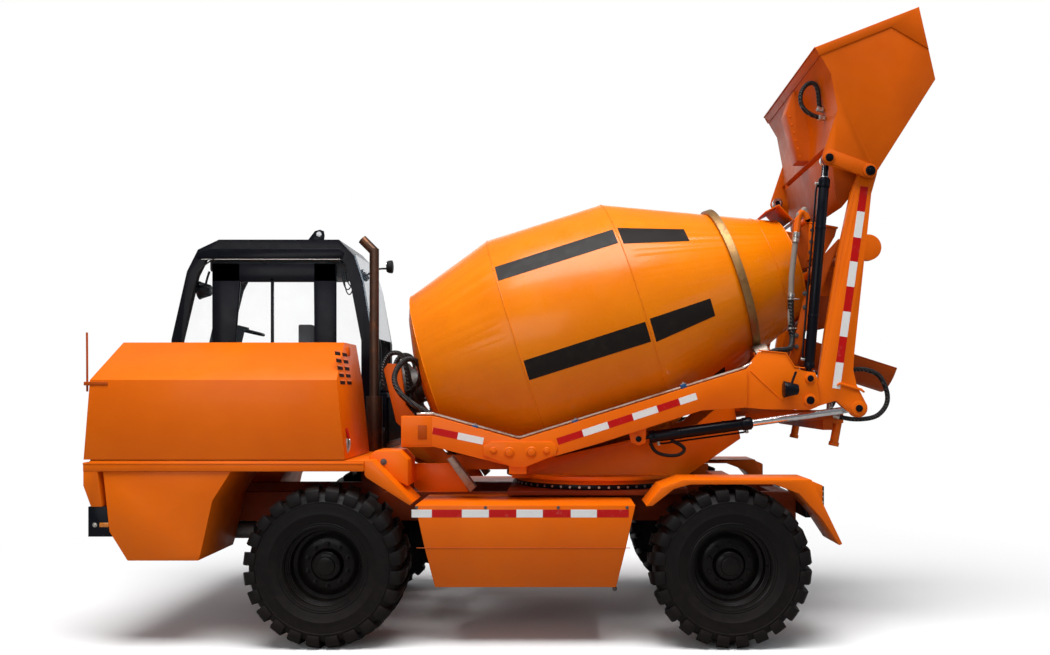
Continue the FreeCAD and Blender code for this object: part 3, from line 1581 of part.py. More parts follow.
def loader_arms():
    """Two tapering arms with forked heels, joined by a cross tube in their lobes."""
    low, high = dims.armInner, dims.armInner + dims.armThick
    outline = [
        arm_point(0, -dims.armEye),
        arm_point(187, -2),
        arm_point(269, -78),
        arm_point(343, -118),
        arm_point(395, -90),
        arm_point(404, -37),
        arm_point(330, 105),
        arm_point(306, 209),
        arm_point(314, 328),
        arm_point(377, 925),
        arm_point(405, 1173),
        arm_point(431, 1430),
        arm_point(468, 1560),
        arm_point(342, 1560),
        arm_point(295, 1443),
        arm_point(206, 1021),
        arm_point(112, 465),
        arm_point(75, 204),
        arm_point(62, 112),
        arm_point(0, dims.armEye),
    ]
    blade = plate("arm_blade", "XZ", outline, low, high)
    lobe_x, lobe_z = arm_point(411, 1058)
    thick = dims.armThick
    foot = rod("arm_foot", "y", (dims.armX, low, dims.armZ), dims.armEye, thick)
    head = rod("arm_head", "y", (dims.pinX, low, dims.pinZ), dims.headEye, thick)
    heel = rod("arm_heel", "y", (dims.heelX, low, dims.heelZ), dims.armEye, thick)
    lobe = rod("arm_lobe", "y", (lobe_x, low, lobe_z), dims.lobeRadius, thick)
    boss = rod("heel_boss", "y", (dims.heelX, high, dims.heelZ), dims.bossRadius, 9)
    solid = fuse("arm_solid", blade, foot, head, heel, lobe, boss)
    slot = box("heel_slot", (dims.armX + 150, dims.heelX + 120), (low + dims.heelPlate, high - dims.heelPlate),
               (dims.heelZ - 120, dims.heelZ + 165))
    reach = thick + 2
    foot_bore = rod("foot_bore", "y", (dims.armX, low - 1, dims.armZ), dims.armPin + dims.pinGap, reach)
    head_bore = rod("head_bore", "y", (dims.pinX, low - 1, dims.pinZ), dims.armPin + dims.pinGap, reach)
    arm = cut("arm_side", solid, slot, foot_bore, head_bore)
    tube = rod("cross_tube", "y", (lobe_x, -low - 1, lobe_z), dims.crossTube, low * 2 + 2)
    node("loader_arms", fuse("arms_whole", arm, mirrored(arm), tube))


def cylinder_pair(name, base, tip, eye, radius, rod_radius, sleeve, start, hidden, thick):
    """A pair of hydraulic cylinders: barrels from their base pins, rods to their eyes."""
    slope, length = heading(base, tip), distance(base, tip)
    middle = dims.armMiddle

    def at(along):
        return base[0] + size(along) * cosine(slope), middle, base[1] + size(along) * sine(slope)

    low = middle - thick / 2
    eye_ring = rod(f"{name}_base", "y", (base[0], low, base[1]), eye, thick)
    neck = leaning_rod(f"{name}_neck", at(eye * 0.8), slope, thick * 0.55, start - eye * 0.8 + 5)
    tube = leaning_rod(f"{name}_tube", at(start), slope, radius, sleeve - start)
    hollow = leaning_rod(f"{name}_hollow", at(start + 40), slope, rod_radius + dims.pinGap, sleeve)
    bore = rod(f"{name}_bore", "y", (base[0], low - 1, base[1]), dims.smallPin + dims.pinGap, thick + 2)
    # the neck narrows between the eye and the barrel
    barrel = cut(f"{name}_barrel", fuse(f"{name}_solid", eye_ring, neck, tube), hollow, bore)
    node(f"{name}_barrels", both_sides(f"{name}_barrel_pair", barrel))
    reach = dims.rodTongue
    stem = leaning_rod(f"{name}_stem", at(hidden), slope, rod_radius, length - hidden - reach)
    corner = at(length - reach - 10)
    tongue = doc.addObject("Part::Box", f"{name}_tongue")
    bind(tongue, "Length", reach)
    bind(tongue, "Width", thick)
    bind(tongue, "Height", rod_radius * 1.8)
    place(tongue, corner[0] + rod_radius * 0.9 * sine(slope), low, corner[2] - rod_radius * 0.9 * cosine(slope),
          axis=(0, -1, 0), angle=slope)
    tip_ring = rod(f"{name}_tip", "y", (tip[0], low, tip[1]), eye, thick)
    tip_bore = rod(f"{name}_tip_bore", "y", (tip[0], low - 1, tip[1]), dims.smallPin + dims.pinGap, thick + 2)
    whole = cut(f"{name}_rod", fuse(f"{name}_rod_solid", stem, tongue, tip_ring), tip_bore)
    node(f"{name}_rods", both_sides(f"{name}_rod_pair", whole))


def cylinders():
    lift = (dims.liftX, dims.liftZ)
    heel = (dims.heelX, dims.heelZ)
    tilt = (dims.armX, dims.tiltZ)
    ear = pin_point(dims.earRun, dims.earRise)
    cylinder_pair("lift", lift, heel, size(42), dims.liftRadius, dims.liftRod, dims.liftSleeve, size(76),
                  size(700), dims.eyeThick)
    cylinder_pair("tilt", tilt, ear, size(42), dims.tiltRadius, dims.tiltRod, dims.tiltSleeve, size(110),
                  size(1000), dims.eyeThick + 12)


def bucket_pins():
    """The pins in the arms' heads that the bucket hangs from."""
    low = dims.armInner - 4
    pin = rod("bucket_pin", "y", (dims.pinX, low, dims.pinZ), dims.armPin, dims.bucketHalf + dims.headOut - low)
    head = rod("bucket_pin_head", "y", (dims.pinX, dims.bucketHalf + dims.seatGap, dims.pinZ),
               dims.bossRadius, dims.headOut)
    node("bucket_pins", both_sides("bucket_pin_pair", fuse("bucket_pin_whole", pin, head)))


def cheek_outline():
    """A side of the bucket, down to the pins it hangs from and tilts by."""
    return [
        pin_point(-380, 848),
        pin_point(338, 1127),
        pin_point(450, 629),
        pin_point(46, -8),
        pin_point(18, -44),
        pin_point(-20, -42),
        pin_point(dims.earRun - 22, dims.earRise - 44),
        pin_point(dims.earRun - 46, dims.earRise),
        pin_point(dims.earRun - 38, dims.earRise + 38),
        pin_point(-221, 420),
        pin_point(-267, 668),
        pin_point(-341, 794),
    ]


def bucket_outline(amount):
    """The bucket's body from its side: lips, floor, bottom and folded back."""
    corners = [
        pin_point(-380, 848),
        pin_point(338, 1127),
        pin_point(450, 629),
        pin_point(118, 110),
        pin_point(-228, 240),
        pin_point(-221, 420),
        pin_point(-267, 668),
        pin_point(-341, 794),
    ]
    signs = [(1.2, 3), (-1.2, 3), (-1.15, 0.2), (-0.5, 1.3), (1, 0.9), (1, 0), (1, 0.3), (1, 0.3)]
    return inset(corners, signs, amount)


def gate_pivot():
    return pin_point(-205, 205)


def bucket():
    """The hollow loading bucket with its cheeks, the hatch's opening and hinge lugs."""
    wall, half = dims.bucketWall, dims.bucketHalf
    cheek_in = half - dims.cheekThick
    body = plate("bucket_body", "XZ", bucket_outline(size(0)), -half, half)
    hollow = plate("bucket_hollow", "XZ", bucket_outline(wall), -cheek_in, cheek_in)
    hatch = box("bucket_hatch", (dims.pinX - 150, dims.pinX + 86), (-dims.gateHalf + 40, dims.gateHalf - 40),
                (dims.pinZ + 60, dims.pinZ + 280))
    shell = cut("bucket_shell", body, hollow, hatch)
    cheek = plate("bucket_cheek", "XZ", cheek_outline(), cheek_in, half)
    ear = pin_point(dims.earRun, dims.earRise)
    ear_pin = rod("ear_pin", "y", (ear[0], cheek_in - dims.earStub, ear[1]), dims.smallPin, dims.earStub + 1)
    ear_boss = rod("ear_boss", "y", (ear[0], half - 1, ear[1]), dims.bossRadius, dims.headOut)
    x, z = gate_pivot()
    lug_y = dims.gateHalf + dims.moveGap
    lug = plate("gate_lug", "XZ", [(x - 22, z - 28), (x + 30, z - 28), (x + 60, z + 15), (x - 20, z + 40)],
                lug_y, lug_y + 14)
    gate_pin = rod("gate_pin", "y", (x, dims.gateHalf - 20, z), dims.gatePin, dims.moveGap + 24)
    sides = fuse("bucket_side", cheek, ear_pin, ear_boss, lug, gate_pin)
    bore = rod("bucket_bore", "y", (dims.pinX, cheek_in - 1, dims.pinZ), dims.armPin + dims.pinGap,
               dims.cheekThick + 2)
    drilled = cut("bucket_drilled", sides, bore)
    guard = plate("bucket_guard", "XZ", [
        pin_point(-223, 250),
        pin_point(-216, 420),
        pin_point(-259, 664),
        pin_point(-330, 788),
        pin_point(-345, 783),
        pin_point(-402, 612),
        pin_point(-312, 250),
    ], -dims.guardHalf, dims.guardHalf)
    node("bucket", fuse("bucket_whole", shell, drilled, mirrored(drilled), guard))


def gate_outline(amount):
    corners = [
        pin_point(104, 88),
        pin_point(-150, -222),
        pin_point(-186, -160),
        pin_point(-225, 190),
        pin_point(-205, 224),
    ]
    signs = [(-1.4, 4), (0.2, 1.6), (1, 0.4), (1, 4), (1, 4)]
    return inset(corners, signs, amount)


def bucket_gate():
    """The hatch under the bucket: a wedge-shaped trough that swings on two pins."""
    wall, half = dims.bucketWall, dims.gateHalf
    outside = plate("gate_outside", "XZ", gate_outline(size(0)), -half, half)
    inside = plate("gate_inside", "XZ", gate_outline(wall), wall - half, half - wall)
    x, z = gate_pivot()
    bore = rod("gate_bore", "y", (x, -half - 1, z), dims.gatePin + dims.pinGap, half * 2 + 2)
    node("bucket_gate", cut("gate_whole", outside, inside, bore))


def loader():
    """The loading arms, their cylinders and the bucket."""
    loader_arms()
    cylinders()
    bucket_pins()
    bucket()
    bucket_hose()
    bucket_gate()


carrier()
engine_hood()
cab_door()
running_gear()
turret()
loader()
doc.recompute()

failed = [item.Label for item in doc.Objects if "Invalid" in item.State or "Error" in item.State]
failed += [piece.Label for piece in nodes if piece.Shape.isNull() or not piece.Shape.isValid()]
if failed:
    raise RuntimeError(f"these sub-parts failed: {failed}")

os.makedirs("parts", exist_ok=True)
for piece in nodes:
    piece.Shape.exportStep(f"parts/{piece.Label}.step")
    print(piece.Label, len(piece.Shape.Solids), round(piece.Shape.Volume / 1e6, 1))
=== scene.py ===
import bpy
import json
import math
from mathutils import Euler, Matrix, Vector

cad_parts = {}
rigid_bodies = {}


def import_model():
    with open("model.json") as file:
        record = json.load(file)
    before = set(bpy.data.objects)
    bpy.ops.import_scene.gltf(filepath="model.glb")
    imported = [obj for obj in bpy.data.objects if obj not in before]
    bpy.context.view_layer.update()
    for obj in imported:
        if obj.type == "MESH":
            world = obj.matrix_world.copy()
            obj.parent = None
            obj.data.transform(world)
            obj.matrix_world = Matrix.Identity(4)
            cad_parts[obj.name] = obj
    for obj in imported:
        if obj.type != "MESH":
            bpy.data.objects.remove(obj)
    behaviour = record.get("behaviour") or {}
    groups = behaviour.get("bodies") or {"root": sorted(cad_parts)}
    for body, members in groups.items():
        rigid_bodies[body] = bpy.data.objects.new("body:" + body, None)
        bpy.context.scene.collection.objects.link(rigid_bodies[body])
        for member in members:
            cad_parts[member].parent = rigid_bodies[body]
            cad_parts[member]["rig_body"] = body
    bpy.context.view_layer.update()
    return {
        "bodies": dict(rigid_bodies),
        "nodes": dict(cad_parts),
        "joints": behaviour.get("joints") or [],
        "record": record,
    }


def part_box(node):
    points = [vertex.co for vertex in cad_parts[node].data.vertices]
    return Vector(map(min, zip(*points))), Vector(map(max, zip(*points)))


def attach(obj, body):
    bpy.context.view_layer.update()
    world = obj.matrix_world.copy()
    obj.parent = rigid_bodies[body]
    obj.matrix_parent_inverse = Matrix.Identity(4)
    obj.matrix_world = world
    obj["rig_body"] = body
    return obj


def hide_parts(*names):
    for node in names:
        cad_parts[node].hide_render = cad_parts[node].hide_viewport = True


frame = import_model()
nodes = frame["nodes"]
print("stage: frame loaded")


# finishes: a wrapped socket, so that shader maths reads as sums

class Signal:
    def __init__(self, finish, socket):
        self.finish = finish
        self.socket = socket

    def combine(self, operation, first, second):
        return self.finish.node("ShaderNodeMath", {"operation": operation}, {0: first, 1: second})

    def __add__(self, other):
        return self.combine("ADD", self, other)

    def __sub__(self, other):
        return self.combine("SUBTRACT", self, other)

    def __rsub__(self, other):
        return self.combine("SUBTRACT", other, self)

    def __mul__(self, other):
        return self.combine("MULTIPLY", self, other)

    __radd__ = __add__
    __rmul__ = __mul__

    def __truediv__(self, other):
        return self.combine("DIVIDE", self, other)

    def __pow__(self, other):
        return self.combine("POWER", self, other)

    def above(self, edge):
        return self.combine("GREATER_THAN", self, edge)


class Finish:
    def __init__(self, name):
        self.material = bpy.data.materials.new(name)
        self.material.use_nodes = True
        self.tree = self.material.node_tree
        self.tree.nodes.clear()
        place = self.tree.nodes.new("ShaderNodeTexCoord")
        self.place = Signal(self, place.outputs["Object"])
        self.uv = Signal(self, place.outputs["UV"])

    def node(self, kind, settings=None, inputs=None, output=0):
        made = self.tree.nodes.new(kind)
        for key, value in (settings or {}).items():
            if key == "stops":
                ramp = made.color_ramp.elements
                while len(ramp) < len(value):
                    ramp.new(1)
                for element, (at, colour) in zip(ramp, value):
                    element.position = at
                    element.color = colour if len(colour) == 4 else (*colour, 1)
            else:
                setattr(made, key, value)
        for key, value in (inputs or {}).items():
            if isinstance(value, Signal):
                self.tree.links.new(value.socket, made.inputs[key])
            else:
                made.inputs[key].default_value = value
        return Signal(self, made.outputs[output])

    def noise(self, scale, detail=3.0, rough=0.55, at=None):
        return self.node("ShaderNodeTexNoise", None, {"Vector": at or self.place, "Scale": scale,
                                                      "Detail": detail, "Roughness": rough})

    def ramp(self, value, low, high, start=0.0, end=1.0):
        return self.node("ShaderNodeMapRange", {"clamp": True},
                         {"Value": value, "From Min": low, "From Max": high, "To Min": start,
                          "To Max": end})

    def blend(self, share, first, second):
        made = self.tree.nodes.new("ShaderNodeMix")
        made.data_type = "RGBA"
        for index, value in ((0, share), (6, first), (7, second)):
            if isinstance(value, Signal):
                self.tree.links.new(value.socket, made.inputs[index])
            else:
                made.inputs[index].default_value = value if index == 0 else (*value, 1)
        return Signal(self, made.outputs[2])

    def axis(self, letter, at=None):
        return self.node("ShaderNodeSeparateXYZ", None, {0: at or self.place}, "XYZ".index(letter))

    def bump(self, height, strength, distance=0.002):
        return self.node("ShaderNodeBump", None, {"Height": height, "Strength": strength,
                                                  "Distance": distance})

    def surface(self, **sockets):
        shader = self.tree.nodes.new("ShaderNodeBsdfPrincipled")
        for key, value in sockets.items():
            socket = shader.inputs[key.replace("_", " ")]
            if isinstance(value, Signal):
                self.tree.links.new(value.socket, socket)
            elif isinstance(value, tuple):
                socket.default_value = (*value, 1)
            else:
                socket.default_value = value
        out = self.tree.nodes.new("ShaderNodeOutputMaterial")
        self.tree.links.new(shader.outputs[0], out.inputs[0])
        return self.material


# the machine's finishes

paintLooks = {
    "orangeEnamel": {"colour": (0.78, 0.14, 0.0004), "shade": (0.72, 0.118, 0.0004),
                     "dust": (0.5, 0.17, 0.05),
                     "rough": 0.34, "coat": 0.06, "dustShare": 0.05, "shine": 0.16},
    # the drum's orange is the body orange made lighter and yellower to match the lit drum: partly its own
    # paint, partly painted highlight
    "drumEnamel": {"colour": (0.8, 0.205, 0.0006), "shade": (0.73, 0.168, 0.0006),
                   "dust": (0.6, 0.22, 0.06), "rough": 0.27, "coat": 0.12, "dustShare": 0.05, "shine": 0.2},
    "bucketEnamel": {"colour": (0.62, 0.104, 0.0005), "shade": (0.52, 0.08, 0.0005),
                     "dust": (0.42, 0.15, 0.05),
                     "rough": 0.38, "coat": 0.03, "dustShare": 0.08, "shine": 0.12},
    "redEnamel": {"colour": (0.5, 0.078, 0.0008), "shade": (0.36, 0.052, 0.0008),
                  "dust": (0.36, 0.14, 0.06),
                  "rough": 0.42, "coat": 0.03, "dustShare": 0.12, "shine": 0.15},
    # the frame's dark red is darkened further to stand for the shade under the machine: partly its own dark
    # red paint, partly painted shade
    "frameEnamel": {"colour": (0.24, 0.03, 0.003), "shade": (0.14, 0.016, 0.0025),
                    "dust": (0.22, 0.1, 0.06),
                    "rough": 0.5, "coat": 0.02, "dustShare": 0.15, "shine": 0.12},
    "blackEnamel": {"colour": (0.0028, 0.0034, 0.0075), "shade": (0.0018, 0.0022, 0.0045),
                    "dust": (0.02, 0.017, 0.017), "rough": 0.3, "coat": 0.05, "dustShare": 0.06,
                    "shine": 0.14},
    "rimEnamel": {"colour": (0.005, 0.004, 0.0042), "shade": (0.003, 0.0028, 0.0028),
                  "dust": (0.022, 0.014, 0.01), "rough": 0.3, "coat": 0.06, "dustShare": 0.1,
                  "shine": 0.14},
}


def makePaint(name, look):
    finish = Finish(name)
    broad = finish.noise(1.3, 4.0, 0.6)
    fine = finish.noise(9.0, 6.0, 0.65)
    grain = finish.noise(160.0, 2.0, 0.5)
    base = finish.blend(finish.ramp(broad, 0.35, 0.65), look["colour"], look["shade"])
    height = finish.axis("Z")
    low = finish.ramp(height, 1.4, 0.3)          # dust gathers towards the ground
    dusty = finish.ramp(fine * (low + 0.45), 0.36, 0.95) * look["dustShare"] * 2.4
    specks = finish.ramp(finish.noise(55.0, 3.0, 0.7), 0.7, 0.78) * look["dustShare"]
    base = finish.blend(dusty, base, look["dust"])
    base = finish.blend(specks, base, look["shade"])
    rough = finish.ramp(fine, 0.3, 0.75, look["rough"] - 0.05, look["rough"] + 0.12) + dusty * 0.4
    peel = finish.bump(grain * 0.5 + fine * 0.5, 0.1, 0.0015)
    return finish.surface(Base_Color=base, Roughness=rough, Normal=peel, Coat_Weight=look["coat"],
                          Coat_Roughness=0.12, Specular_IOR_Level=look["shine"])


def makeRubber(name, colour, dust, rough):
    finish = Finish(name)
    fine = finish.noise(14.0, 6.0, 0.7)
    grain = finish.noise(240.0, 3.0, 0.6)
    low = finish.ramp(finish.axis("Z"), 0.75, 0.0)
    share = finish.ramp(fine + low * 0.25, 0.5, 0.95) * 0.42
    base = finish.blend(share, colour, dust)
    return finish.surface(Base_Color=base, Roughness=finish.ramp(fine, 0.3, 0.8, rough - 0.08,
                                                                 rough + 0.14),
                          Normal=finish.bump(grain + fine * 0.6, 0.22, 0.002), Specular_IOR_Level=0.15)


def makeSteel(name, colour, rough, brushed, rust=0.0):
    finish = Finish(name)
    fine = finish.noise(30.0, 5.0, 0.65)
    streak = finish.noise(brushed, 2.0, 0.5)
    base = finish.blend(finish.ramp(fine, 0.3, 0.8), colour, tuple(value * 0.72 for value in colour))
    if rust:
        base = finish.blend(finish.ramp(finish.noise(7.0, 7.0, 0.75), 0.5, 0.66) * rust, base,
                            (0.17, 0.062, 0.022))
    return finish.surface(Base_Color=base, Metallic=finish.ramp(fine, 0.3, 0.9, 1.0, 0.86 - rust * 0.5),
                          Roughness=finish.ramp(streak, 0.2, 0.8, rough - 0.07, rough + 0.1),
                          Normal=finish.bump(streak, 0.08, 0.0008))


def makeGlass(name, colour, alpha):
    finish = Finish(name)
    smear = finish.noise(3.0, 5.0, 0.6)
    return finish.surface(Base_Color=finish.blend(smear, colour, tuple(value * 0.86 for value in colour)),
                          Roughness=finish.ramp(smear, 0.3, 0.7, 0.03, 0.1),
                          Alpha=finish.ramp(smear, 0.3, 0.8, alpha, alpha + 0.04), Coat_Weight=1.0,
                          Coat_Roughness=0.03, Specular_IOR_Level=0.6)


def makeCloth(name, colour, second):
    finish = Finish(name)
    thread = finish.node("ShaderNodeTexWave", {"wave_type": "BANDS", "bands_direction": "X"},
                         {"Vector": finish.place, "Scale": 90.0, "Distortion": 0.4})
    cross = finish.node("ShaderNodeTexWave", {"wave_type": "BANDS", "bands_direction": "Z"},
                        {"Vector": finish.place, "Scale": 90.0, "Distortion": 0.4})
    weave = finish.node("ShaderNodeTexWave", {"wave_type": "BANDS", "bands_direction": "Y"},
                        {"Vector": finish.place, "Scale": 90.0, "Distortion": 0.4}, 1)
    pile = (thread + cross + weave) / 3
    return finish.surface(Base_Color=finish.blend(pile, colour, second),
                          Roughness=finish.ramp(pile, 0, 1, 0.7, 0.92),
                          Normal=finish.bump(pile, 0.5, 0.001), Sheen_Weight=0.3)


def makeLens(name, colour):
    finish = Finish(name)
    cells = finish.node("ShaderNodeTexVoronoi", {"feature": "DISTANCE_TO_EDGE"},
                        {"Vector": finish.place, "Scale": 110.0})
    base = finish.blend(finish.ramp(cells, 0.0, 0.3), tuple(value * 0.6 for value in colour), colour)
    return finish.surface(Base_Color=base, Roughness=finish.ramp(cells, 0, 0.3, 0.24, 0.12),
                          Normal=finish.bump(cells, 0.4, 0.001), Coat_Weight=0.8, Coat_Roughness=0.05)


def makeTape(name, colour):
    finish = Finish(name)
    cells = finish.node("ShaderNodeTexVoronoi", {"feature": "DISTANCE_TO_EDGE"},
                        {"Vector": finish.place, "Scale": 260.0})
    wear = finish.ramp(finish.noise(22.0, 6.0, 0.7), 0.58, 0.74) * 0.22
    base = finish.blend(finish.ramp(cells, 0.02, 0.12), tuple(value * 0.8 for value in colour), colour)
    base = finish.blend(wear, base, (0.42, 0.33, 0.27))
    return finish.surface(Base_Color=base, Roughness=finish.ramp(cells, 0, 0.3, 0.34, 0.22),
                          Normal=finish.bump(cells, 0.25, 0.0005), Coat_Weight=0.12, Coat_Roughness=0.1,
                          Specular_IOR_Level=0.25)


def makeSpiral(name, colour, ridge):
    # the hard spiral guard wound round a hose
    finish = Finish(name)
    wind = finish.node("ShaderNodeTexWave", {"wave_type": "BANDS", "bands_direction": "DIAGONAL"},
                       {"Vector": finish.place, "Scale": 26.0, "Distortion": 0.6, "Detail": 1.0}, 1)
    worn = finish.ramp(finish.noise(40.0, 4.0, 0.6), 0.35, 0.75)
    return finish.surface(Base_Color=finish.blend(finish.ramp(wind, 0.72, 0.95) * worn, colour, ridge),
                          Roughness=finish.ramp(wind, 0.2, 0.9, 0.5, 0.32),
                          Normal=finish.bump(wind, 0.8, 0.006), Specular_IOR_Level=0.3)


looks = {name: makePaint(name, look) for name, look in paintLooks.items()}
looks["tyreRubber"] = makeRubber("tyreRubber", (0.005, 0.004, 0.004), (0.026, 0.017, 0.013), 0.52)
looks["hoseRubber"] = makeRubber("hoseRubber", (0.01, 0.01, 0.01), (0.05, 0.045, 0.04), 0.48)
looks["trimRubber"] = makeRubber("trimRubber", (0.016, 0.016, 0.017), (0.07, 0.065, 0.06), 0.66)
looks["chromeSteel"] = makeSteel("chromeSteel", (0.86, 0.86, 0.87), 0.12, 60.0)
looks["bareSteel"] = makeSteel("bareSteel", (0.36, 0.3, 0.25), 0.46, 90.0, 0.85)
looks["ringSteel"] = makeSteel("ringSteel", (0.36, 0.2, 0.075), 0.46, 70.0, 0.9)
looks["castIron"] = makeSteel("castIron", (0.15, 0.145, 0.14), 0.55, 40.0, 0.35)
looks["zincSteel"] = makeSteel("zincSteel", (0.62, 0.6, 0.56), 0.3, 120.0, 0.1)
looks["exhaustSteel"] = makeSteel("exhaustSteel", (0.085, 0.045, 0.03), 0.42, 50.0, 0.75)
looks["cabGlass"] = makeGlass("cabGlass", (0.56, 0.7, 0.78), 0.0)
looks["rearGlass"] = makeGlass("rearGlass", (0.07, 0.13, 0.19), 0.78)
looks["seatCloth"] = makeCloth("seatCloth", (0.018, 0.018, 0.02), (0.045, 0.045, 0.05))
looks["redLens"] = makeLens("redLens", (0.5, 0.01, 0.008))
looks["amberLens"] = makeLens("amberLens", (0.75, 0.22, 0.01))
looks["clearLens"] = makeLens("clearLens", (0.8, 0.82, 0.84))
looks["whiteTape"] = makeTape("whiteTape", (0.8, 0.8, 0.79))
looks["redTape"] = makeTape("redTape", (0.52, 0.003, 0.003))
looks["blackBand"] = makeRubber("blackBand", (0.01, 0.0075, 0.0065), (0.045, 0.034, 0.026), 0.46)
looks["waterHose"] = makeRubber("waterHose", (0.25, 0.21, 0.18), (0.38, 0.3, 0.24), 0.3)
looks["spiralHose"] = makeSpiral("spiralHose", (0.008, 0.008, 0.009), (0.1, 0.095, 0.09))
looks["clampBlue"] = makeTape("clampBlue", (0.012, 0.075, 0.22))
print("stage: finishes made")


# working tools

def clearPick():
    if bpy.context.object and bpy.context.object.mode != "OBJECT":
        bpy.ops.object.mode_set(mode="OBJECT")
    bpy.ops.object.select_all(action="DESELECT")


def pick(*pieces):
    clearPick()
    for piece in pieces:
        piece.select_set(True)
    bpy.context.view_layer.objects.active = pieces[0]
    return pieces[0]


def applyAll(piece):
    pick(piece)
    for modifier in list(piece.modifiers):
        bpy.ops.object.modifier_apply(modifier=modifier.name)
    bpy.ops.object.transform_apply(location=True, rotation=True, scale=True)
    return piece


def bevelled(piece, width, segments=2, angle=32):
    modifier = piece.modifiers.new("edge", "BEVEL")
    modifier.width = width
    modifier.segments = segments
    modifier.limit_method = "ANGLE"
    modifier.angle_limit = math.radians(angle)
    modifier.use_clamp_overlap = True
    return applyAll(piece)


def smoothed(piece, angle=34):
    pick(piece)
    bpy.ops.object.shade_smooth_by_angle(angle=math.radians(angle))
    return piece


def settle(piece, body, look, replaces=()):
    # a finished piece: its body, its look and the imported nodes that it hides in its place
    applyAll(piece)
    piece.data.materials.clear()
    piece.data.materials.append(looks[look])
    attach(piece, body)
    if replaces:
        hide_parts(*replaces)
    return piece


def joined(name, pieces):
    pick(*pieces)
    if len(pieces) > 1:
        bpy.ops.object.join()
    piece = bpy.context.object
    piece.name = name
    return piece


def block(low, high, bevel=0.004, turn=None, segments=2):
    clearPick()
    middle = [(a + b) / 2 for a, b in zip(low, high)]
    bpy.ops.mesh.primitive_cube_add(size=1, location=middle, rotation=turn or (0, 0, 0))
    piece = bpy.context.object
    piece.scale = [b - a for a, b in zip(low, high)]
    bpy.ops.object.transform_apply(location=True, rotation=True, scale=True)
    return bevelled(piece, bevel, segments) if bevel else piece


def rod(start, end, radius, sides=24, bevel=0.0, tip=None):
    clearPick()
    start, end = Vector(start), Vector(end)
    along = end - start
    turn = along.to_track_quat("Z", "Y").to_euler()
    bpy.ops.mesh.primitive_cone_add(vertices=sides, radius1=radius, radius2=radius if tip is None else tip,
                                    depth=along.length, location=(start + end) / 2, rotation=turn)
    piece = bpy.context.object
    bpy.ops.object.transform_apply(location=True, rotation=True, scale=True)
    return bevelled(piece, bevel) if bevel else piece


def band(start, end, outer, inner, sides=36):
    # an open ring round a rod or a barrel
    clearPick()
    start, end = Vector(start), Vector(end)
    along = end - start
    turn = along.to_track_quat("Z", "Y").to_euler()
    bpy.ops.mesh.primitive_cylinder_add(vertices=sides, radius=outer, depth=along.length,
                                        end_fill_type="NOTHING", location=(start + end) / 2, rotation=turn)
    piece = bpy.context.object
    bpy.ops.object.transform_apply(location=True, rotation=True, scale=True)
    wall = piece.modifiers.new("wall", "SOLIDIFY")
    wall.thickness = outer - inner
    wall.offset = -1
    applyAll(piece)
    return bevelled(piece, min(0.003, (outer - inner) * 0.4))


def prism(corners, plane, low, high, bevel=0.003, segments=2):
    # a flat sheet with the corners given in its plane, pulled out to its thickness
    clearPick()
    bpy.ops.mesh.primitive_circle_add(vertices=len(corners), radius=1, fill_type="NGON")
    piece = bpy.context.object
    place = {"XZ": lambda a, b: (a, low, b),
             "XY": lambda a, b: (a, b, low),
             "YZ": lambda a, b: (low, a, b)}[plane]
    for vertex, corner in zip(piece.data.vertices, corners):
        vertex.co = place(*corner)
    step = {"XZ": (0, high - low, 0), "XY": (0, 0, high - low), "YZ": (high - low, 0, 0)}[plane]
    bpy.ops.object.mode_set(mode="EDIT")
    bpy.ops.mesh.select_all(action="SELECT")
    bpy.ops.mesh.extrude_region_move(TRANSFORM_OT_translate={"value": step})
    bpy.ops.mesh.select_all(action="SELECT")
    bpy.ops.mesh.normals_make_consistent(inside=False)
    bpy.ops.object.mode_set(mode="OBJECT")
    return bevelled(piece, bevel, segments) if bevel else piece


def tube(points, radius, sides=12, smooth=True):
    # a pipe or hose held at both ends, along its points
    clearPick()
    bpy.ops.curve.primitive_nurbs_path_add()
    piece = bpy.context.object
    curve = piece.data
    curve.splines.remove(curve.splines[0])
    spline = curve.splines.new("NURBS" if smooth else "POLY")
    spline.points.add(len(points) - 1)
    for point, place in zip(spline.points, points):
        point.co = (*place, 1)
    if smooth:
        spline.order_u = 3
        spline.use_endpoint_u = True
        spline.resolution_u = 6
    piece.location = (0, 0, 0)
    curve.dimensions = "3D"
    curve.bevel_depth = radius
    curve.bevel_resolution = max(1, sides // 4 - 1)
    curve.use_fill_caps = True
    pick(piece)
    bpy.ops.object.convert(target="MESH")
    return smoothed(bpy.context.object, 50)


def copied(piece, move=(0, 0, 0), turn=None):
    twin = piece.copy()
    twin.data = piece.data.copy()
    bpy.context.scene.collection.objects.link(twin)
    if turn is not None:
        twin.data.transform(turn)
    twin.data.transform(Matrix.Translation(Vector(move)))
    return twin


def mirrored(piece, axis=1):
    twin = copied(piece)
    flip = Matrix.Scale(-1, 4, Vector([1 if k == axis else 0 for k in range(3)]))
    twin.data.transform(flip)
    twin.data.flip_normals()
    return twin


def merged(nodeName):
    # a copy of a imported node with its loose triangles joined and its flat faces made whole
    source = nodes[nodeName]
    twin = source.copy()
    twin.data = source.data.copy()
    twin.parent = None
    for key in list(twin.keys()):
        del twin[key]
    twin.name = nodeName + "Skin"
    bpy.context.scene.collection.objects.link(twin)
    pick(twin)
    bpy.ops.object.mode_set(mode="EDIT")
    bpy.ops.mesh.select_all(action="SELECT")
    bpy.ops.mesh.remove_doubles(threshold=0.00004)
    bpy.ops.mesh.customdata_custom_splitnormals_clear()
    bpy.ops.mesh.select_all(action="SELECT")
    bpy.ops.mesh.dissolve_limited(angle_limit=math.radians(0.8))
    bpy.ops.object.mode_set(mode="OBJECT")
    return twin


